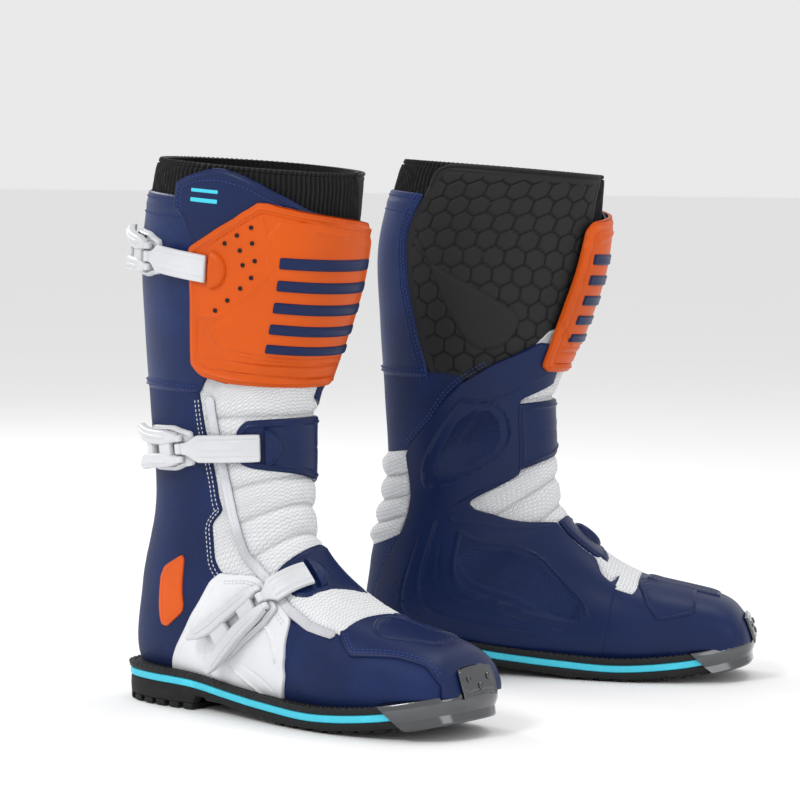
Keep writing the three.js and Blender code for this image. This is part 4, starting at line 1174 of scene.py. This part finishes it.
tab = {
    "rows": [[9.86, -20, 80], [11.2, -20, 89], [11.5, -20, 97], [11.62, 8, 104], [11.75, 28, 103.5],
             [12.0, 49, 103], [12.25, 62, 92], [12.56, 76, 82]],
    "grid": (90, 84), "lift": 3.0, "thick": 2.5, "roll": 1.4, "soft": 3,
    "lips": [(3.2, 2.6, 0.5), (6.8, 1.2, -0.4)],
}
tabEdge = [(11.52, 98), (11.68, 102), (12.0, 101), (12.25, 91), (12.5, 79), (12.25, 64), (12.0, 52),
           (11.8, 36)]
place("cuff_tab", layPanel(tab), "navyShell", "flap", ["cuff_tab"])
place("tab_stitching", sew([beside(tabEdge, 1.6), beside(tabEdge, 5.0)], lift=3.05), "navyThread",
      "flap")
tabLines = {"heights": [11.9, 11.76], "tall": 0.055, "from": 92, "to": 78}


def makeLines(lines, lift):
    half = lines["tall"] / 2
    return joined(*[layPanel({
        "left": [(t - half, lines["from"]), (t + half, lines["from"])],
        "right": [(t - half, lines["to"]), (t + half, lines["to"])],
        "grid": (6, 24), "lift": lift, "thick": 0.5, "roll": 0.2, "soft": 0.5})
        for t in lines["heights"]])


place("tab_print", makeLines(tabLines, 3.3), "print", "flap")

shin = {
    "rows": [[9.46, -35, 60], [9.56, -40, 80], [9.72, -40, 86], [10.6, -38, 88], [11.2, -35, 90.5],
             [11.46, -33, 76], [11.58, -27, 68], [11.66, 6, 64], [11.72, 30, 60], [11.8, 50, 56]],
    "grid": (136, 140), "lift": 6.7, "thick": 3.2, "roll": 2.0, "soft": 4, "crowd": 0.15,
    "lips": [(4.2, 3.4, 1.1), (7.4, 1.8, -0.7)],
    "marks": [
        {"path": [(11.62, 53), (11.3, 49), (11.0, 46), (10.72, 57), (10.44, 68), (10.4, 82)],
         "wide": 6, "high": 1.9, "soft": 1},
        {"area": [(11.56, 51), (11.0, 44), (10.72, 55), (10.44, 66), (10.3, 78), (10.05, 72),
                  (9.98, 40), (9.98, -40), (11.5, -40), (11.6, 20)], "wide": 2, "high": 1.3, "soft": 1},
        {"path": [(11.5, 22), (11.42, -8), (11.36, -22)], "wide": 6, "high": 1.2},
        {"path": [(9.86, 76), (9.84, 40), (9.84, -30)], "wide": 2.4, "high": -1.2},
        {"path": [(9.69, 68), (9.66, 30), (9.64, -30)], "wide": 2.4, "high": -1.1},
        {"path": [(10.2, 74), (9.98, 66), (9.94, 30), (9.92, -28)], "wide": 3.0, "high": 1.0},
    ],
}
place("shin_plate", layPanel(shin), "orangeShell", "flap", ["shin_plate"])
shinEdge = [(9.62, 78), (9.76, 84), (10.6, 86), (11.16, 88), (11.42, 76), (11.6, 66), (11.74, 55),
            (11.66, 32), (11.6, 8), (11.54, -22)]
place("shin_stitching", sew([beside(shinEdge, 5.6)], lift=6.5, gap=3.2, length=2.2),
      "orangeThread", "flap")
shinRibs = {"heights": [11.14, 10.88, 10.62, 10.36, 10.1], "tall": 0.13, "from": 42, "to": -26,
            "lift": 9.2}


def makeShinRibs(ribs):
    half = ribs["tall"] / 2
    return joined(*[layPanel({
        "left": [(t - half, ribs["from"]), (t + half, ribs["from"])],
        "right": [(t - half, ribs["to"]), (t + half, ribs["to"])], "grid": (14, 70),
        "lift": ribs["lift"], "thick": 3.6, "roll": 1.2, "soft": 1.0,
        "lips": [(1.6, 1.4, 0.3)]}) for t in ribs["heights"]])


place("shin_ribs", makeShinRibs(shinRibs), "navyShell", "flap")
shinVents = {"radius": 1.6, "spots": [(11.5, 58), (11.4, 65), (11.3, 71), (11.33, 57), (11.24, 63),
                                       (11.14, 55), (11.08, 61), (10.94, 56), (10.8, 61),
                                       (10.64, 67), (10.5, 73)]}
place("shin_vents", makeDots(shinVents, 7.5), "vent", "flap")

boss = {"radius": 14.2, "high": 6.6}


def makeBoss(buckle, low):
    t, deg = buckle["anchor"]
    spot, out = onLast([t], [deg])
    r, h = boss["radius"], boss["high"]
    profile = [(0, h), (r * 0.35, h), (r * 0.42, h - 0.5), (r * 0.62, h - 0.7), (r * 0.82, h - 1.4),
               (r * 0.95, h - 2.8), (r, h - 4.4), (r, -2.0), (0, -2.0)]
    dome = turned(profile, spot[0] + out[0] * low, out[0], 56)
    surface = onBuckle(buckle)
    origin, up = surface(np.array([0.02]), np.array([0.0]))
    ahead = surface(np.array([0.07]), np.array([0.0]))[0] - origin
    cut = Vector(unit(ahead)[0])
    start = Vector(origin[0]) - cut * 3.2
    bmesh.ops.bisect_plane(dome, geom=dome.verts[:] + dome.edges[:] + dome.faces[:],
                           plane_co=start, plane_no=cut, clear_outer=True)
    bmesh.ops.holes_fill(dome, edges=dome.edges[:])
    bmesh.ops.recalc_face_normals(dome, faces=dome.faces[:])
    return dome


strapShape = {
    "rows": [[0.03, 10.2, -10.2], [0.5, 10.2, -10.2], [0.78, 10.2, -10.2], [0.86, 6.4, -6.4],
             [0.91, 4.5, -4.5], [0.985, 4.3, -4.3]],
    "metric": (45, 1), "grid": (60, 30), "lift": 2.7, "thick": 2.5, "roll": 0.9, "soft": 1.5,
    "marks": [{"path": [(0.06, 6.4), (0.76, 6.4)], "wide": 2.0, "high": -0.8},
              {"path": [(0.06, -6.4), (0.76, -6.4)], "wide": 2.0, "high": -0.8},
              {"path": [(0.34, 0), (0.72, 0)], "wide": 5.0, "high": 0.7}],
}
leverArms = {
    "rows": [[1.0, 11.0, 5.2], [1.06, 12.2, 4.9], [1.2, 13.8, 3.2], [1.5, 14.8, 3.6],
             [1.7, 16.4, 5.2], [1.86, 17.8, 8.4], [1.98, 16.4, 13.0]],
    "metric": (45, 1), "grid": (70, 14), "lift": 5.6, "thick": 5.0, "roll": 1.5, "soft": 2,
    "crown": 0.6, "crownReach": 3,
}
leverBridges = [
    {"rows": [[1.1, 11, -11], [1.3, 11.5, -11.5]], "lift": 4.6},
    {"rows": [[1.46, 12, -12], [1.6, 12, -12]], "lift": 4.2},
]
leverRibs = {"path": [(1.14, 9.2), (1.42, 9.6), (1.68, 11.4), (1.86, 14.0)], "wide": 1.4, "high": 1.0}
basePlate = {
    "rows": [[0.86, 13.5, -13.5], [1.0, 14, -14], [1.12, 17, -17], [1.6, 17, -17], [1.72, 14, -14]],
    "metric": (45, 1), "grid": (46, 40), "thick": 2.6, "roll": 1.1, "soft": 5, "corner": 0.06,
    "lips": [(2.8, 2.6, 0.9)],
}


def mirroredRows(rows):
    return [[u, -b, -a] for u, a, b in rows]


def reached(rows, buckle):  # rows past the pivot drawn towards it
    share = buckle.get("reach", 1.0)
    return [[1 + (row[0] - 1) * share if row[0] > 1 else row[0], *row[1:]] for row in rows]


def makeLever(buckle):
    surface = onBuckle(buckle)
    forms = [layPanel({**leverArms, "rows": reached(rows, buckle)}, surface)
             for rows in (leverArms["rows"], mirroredRows(leverArms["rows"]))]
    for bridge in leverBridges:
        forms.append(layPanel({**bridge, "metric": (45, 1), "grid": (16, 30), "thick": 3.4, "roll": 1.2,
                               "soft": 1}, surface))
    for sign in (1, -1):
        path = [(u, w * sign) for u, w in reached(leverRibs["path"], buckle)]
        forms.append(sweep(softened(path), leverRibs["wide"], leverRibs["high"], surface, 6.1, 2.0, 8))
    forms.append(sweep([(1.0, -10.8), (1.0, -5.0)], 3.3, 3.3, surface, 1.9, 1.0, 20))
    forms.append(sweep([(1.0, 5.0), (1.0, 10.8)], 3.3, 3.3, surface, 1.9, 1.0, 20))
    return joined(*forms)


for spot, buckle in buckles.items():
    surface = onBuckle(buckle)
    bossLow = {"top": 5.2, "mid": 2.4, "low": 2.4}[spot]
    place(f"{spot}_boss", makeBoss(buckle, bossLow),
          "orangeShell" if spot == "top" else "navyShell",
          {"top": "flap", "mid": "shaft", "low": "foot"}[spot], sharp=32.0)
    strapForm = joined(layPanel(strapShape, surface),
                       sweep([(1.0, -4.4), (1.0, 4.4)], 3.1, 3.1, surface, 1.9, 1.0, 20))
    place(f"{spot}_strap", strapForm, "whiteShell", f"{spot}_strap_arm", [f"{spot}_strap"])
    place(f"{spot}_lever", makeLever(buckle), "whiteShell", f"{spot}_lever_arm", [f"{spot}_lever"])
    place(f"{spot}_lever_pin", sweep([(1.0, -11.6), (1.0, 11.6)], 1.5, 1.5, surface, 1.9, 2.0, 14),
          "steel", f"{spot}_lever_arm")

    def baseLift(spots, buckle=buckle):
        return buckle["seat"] + 3.0 - buckleLift(buckle, spots[:, 0])
    place(f"{spot}_buckle_base", layPanel({**basePlate, "lift": baseLift}, surface), "whiteShell",
          {"top": "shaft", "mid": "shaft", "low": "foot"}[spot], [f"{spot}_buckle_base"])
    rivets = [surface(np.array([u]), np.array([w])) for u in (1.22, 1.56) for w in (-12.4, 12.4)]
    heads = [turned([(0, 0.9), (1.2, 0.8), (1.9, 0.2), (2.0, -1.0), (0, -1.0)],
                    here[0] + out[0] * (baseLift(np.array([[u, 0.0]]))[0] + 0.2), out[0], 14)
             for (here, out), u in zip(rivets, (1.22, 1.22, 1.56, 1.56))]
    place(f"{spot}_rivets", joined(*heads), "steel",
          {"top": "shaft", "mid": "shaft", "low": "foot"}[spot])
print("buckles made")

toePads = [
    {"rows": [[1.92, -10, 8], [2.06, -14, 18], [2.54, -14, 32], [2.72, -14, 27], [2.92, -8, 4]]},
    {"rows": [[2.28, -60, -6], [2.34, -66, -5], [2.72, -79, -11], [2.86, -60, -14],
              [3.02, -30, -16]]},
]


def finRibs(skin, spots, fromRim):
    rib = 0.5 + 0.5 * np.sin((skin[:, 1] * 0.8 + skin[:, 0] * 0.6) * math.tau / 2.6)
    return rib * 0.5 * smoothStep((fromRim - 3) / 1.5), np.zeros(len(skin))


padForms = [layPanel({**pad, "grid": (60, 60), "lift": 3.0, "thick": 1.6, "roll": 1.2, "soft": 5,
                      "lips": [(1.8, 2.2, 0.6)], "pattern": finRibs}) for pad in toePads]
place("toe_pads", joined(*padForms), "navyShell", "foot")

flash = {
    "rows": [[6.0, 95, 108], [6.1, 93, 111], [6.82, 91, 112], [6.92, 93, 109]],
    "grid": (80, 40), "lift": 1.5, "thick": 1.8, "roll": 0.9, "lips": [(3.0, 1.6, 0.4)], "soft": 3,
    "corner": 0.04,
}
place("heel_flash", layPanel(flash), "flash", "foot")

for side in sideNames:
    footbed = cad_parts[f"{side}_footbed"]
    footbed.data.materials.clear()
    footbed.data.materials.append(looks["insole"])
print("pieces made:", len(made))

studio = {"floor": (0.80, 0.80, 0.80), "lens": 141.75, "eye": (1.116, -2.1465, 0.400),
          "heading": 23.0, "pitch": -4.09, "roll": 0.5}


def makeFloor():
    ground = bmesh.new()
    bmesh.ops.create_grid(ground, x_segments=2, y_segments=2, size=60)
    mesh = bpy.data.meshes.new("floor")
    ground.to_mesh(mesh)
    ground.free()
    mesh.transform(Matrix.Translation((0, 0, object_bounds()[0][2] - 0.0005)))
    floor = bpy.data.objects.new("floor", mesh)
    mesh.materials.append(looks["floor"])
    bpy.context.scene.collection.objects.link(floor)


def addLight(name, size, power, spot, aim=(0, 0, 0.18)):
    lamp = bpy.data.lights.new(name, "AREA")
    lamp.shape, lamp.size, lamp.energy = "DISK", size, power
    thing = bpy.data.objects.new(name, lamp)
    thing.location = spot
    thing.rotation_euler = (Vector(aim) - Vector(spot)).to_track_quat("-Z", "Y").to_euler()
    bpy.context.scene.collection.objects.link(thing)


makeFloor()
addLight("key", 0.9, 32, (-0.7, -2.3, 2.2))
addLight("fill", 1.6, 9, (2.6, -1.4, 1.0))
addLight("rim", 0.9, 16, (-1.9, 0.9, 1.4))
addLight("top", 1.2, 12, (0.6, 0.6, 2.6))
world = bpy.data.worlds.new("studio")
world.use_nodes = True
world.node_tree.nodes["Background"].inputs["Color"].default_value = (1, 1, 1, 1)
world.node_tree.nodes["Background"].inputs["Strength"].default_value = 0.82
bpy.context.scene.world = world
bpy.context.scene.view_settings.view_transform = "Standard"

lens = bpy.data.cameras.new("camera")
lens.lens, lens.sensor_width = studio["lens"], 36.0
camera = bpy.data.objects.new("camera", lens)
heading, pitch = math.radians(studio["heading"]), math.radians(studio["pitch"])
ahead = Vector((-math.sin(heading) * math.cos(pitch), math.cos(heading) * math.cos(pitch),
                math.sin(pitch)))
rightOrigin = stands["right"].translation
camera.location = (rightOrigin.x + studio["eye"][0], rightOrigin.y + studio["eye"][1], studio["eye"][2])
camera.rotation_euler = (ahead.to_track_quat("-Z", "Y").to_matrix()
                         @ Matrix.Rotation(math.radians(studio["roll"]), 3, "Z")).to_euler()
bpy.context.scene.collection.objects.link(camera)
bpy.context.scene.camera = camera
print("studio made")
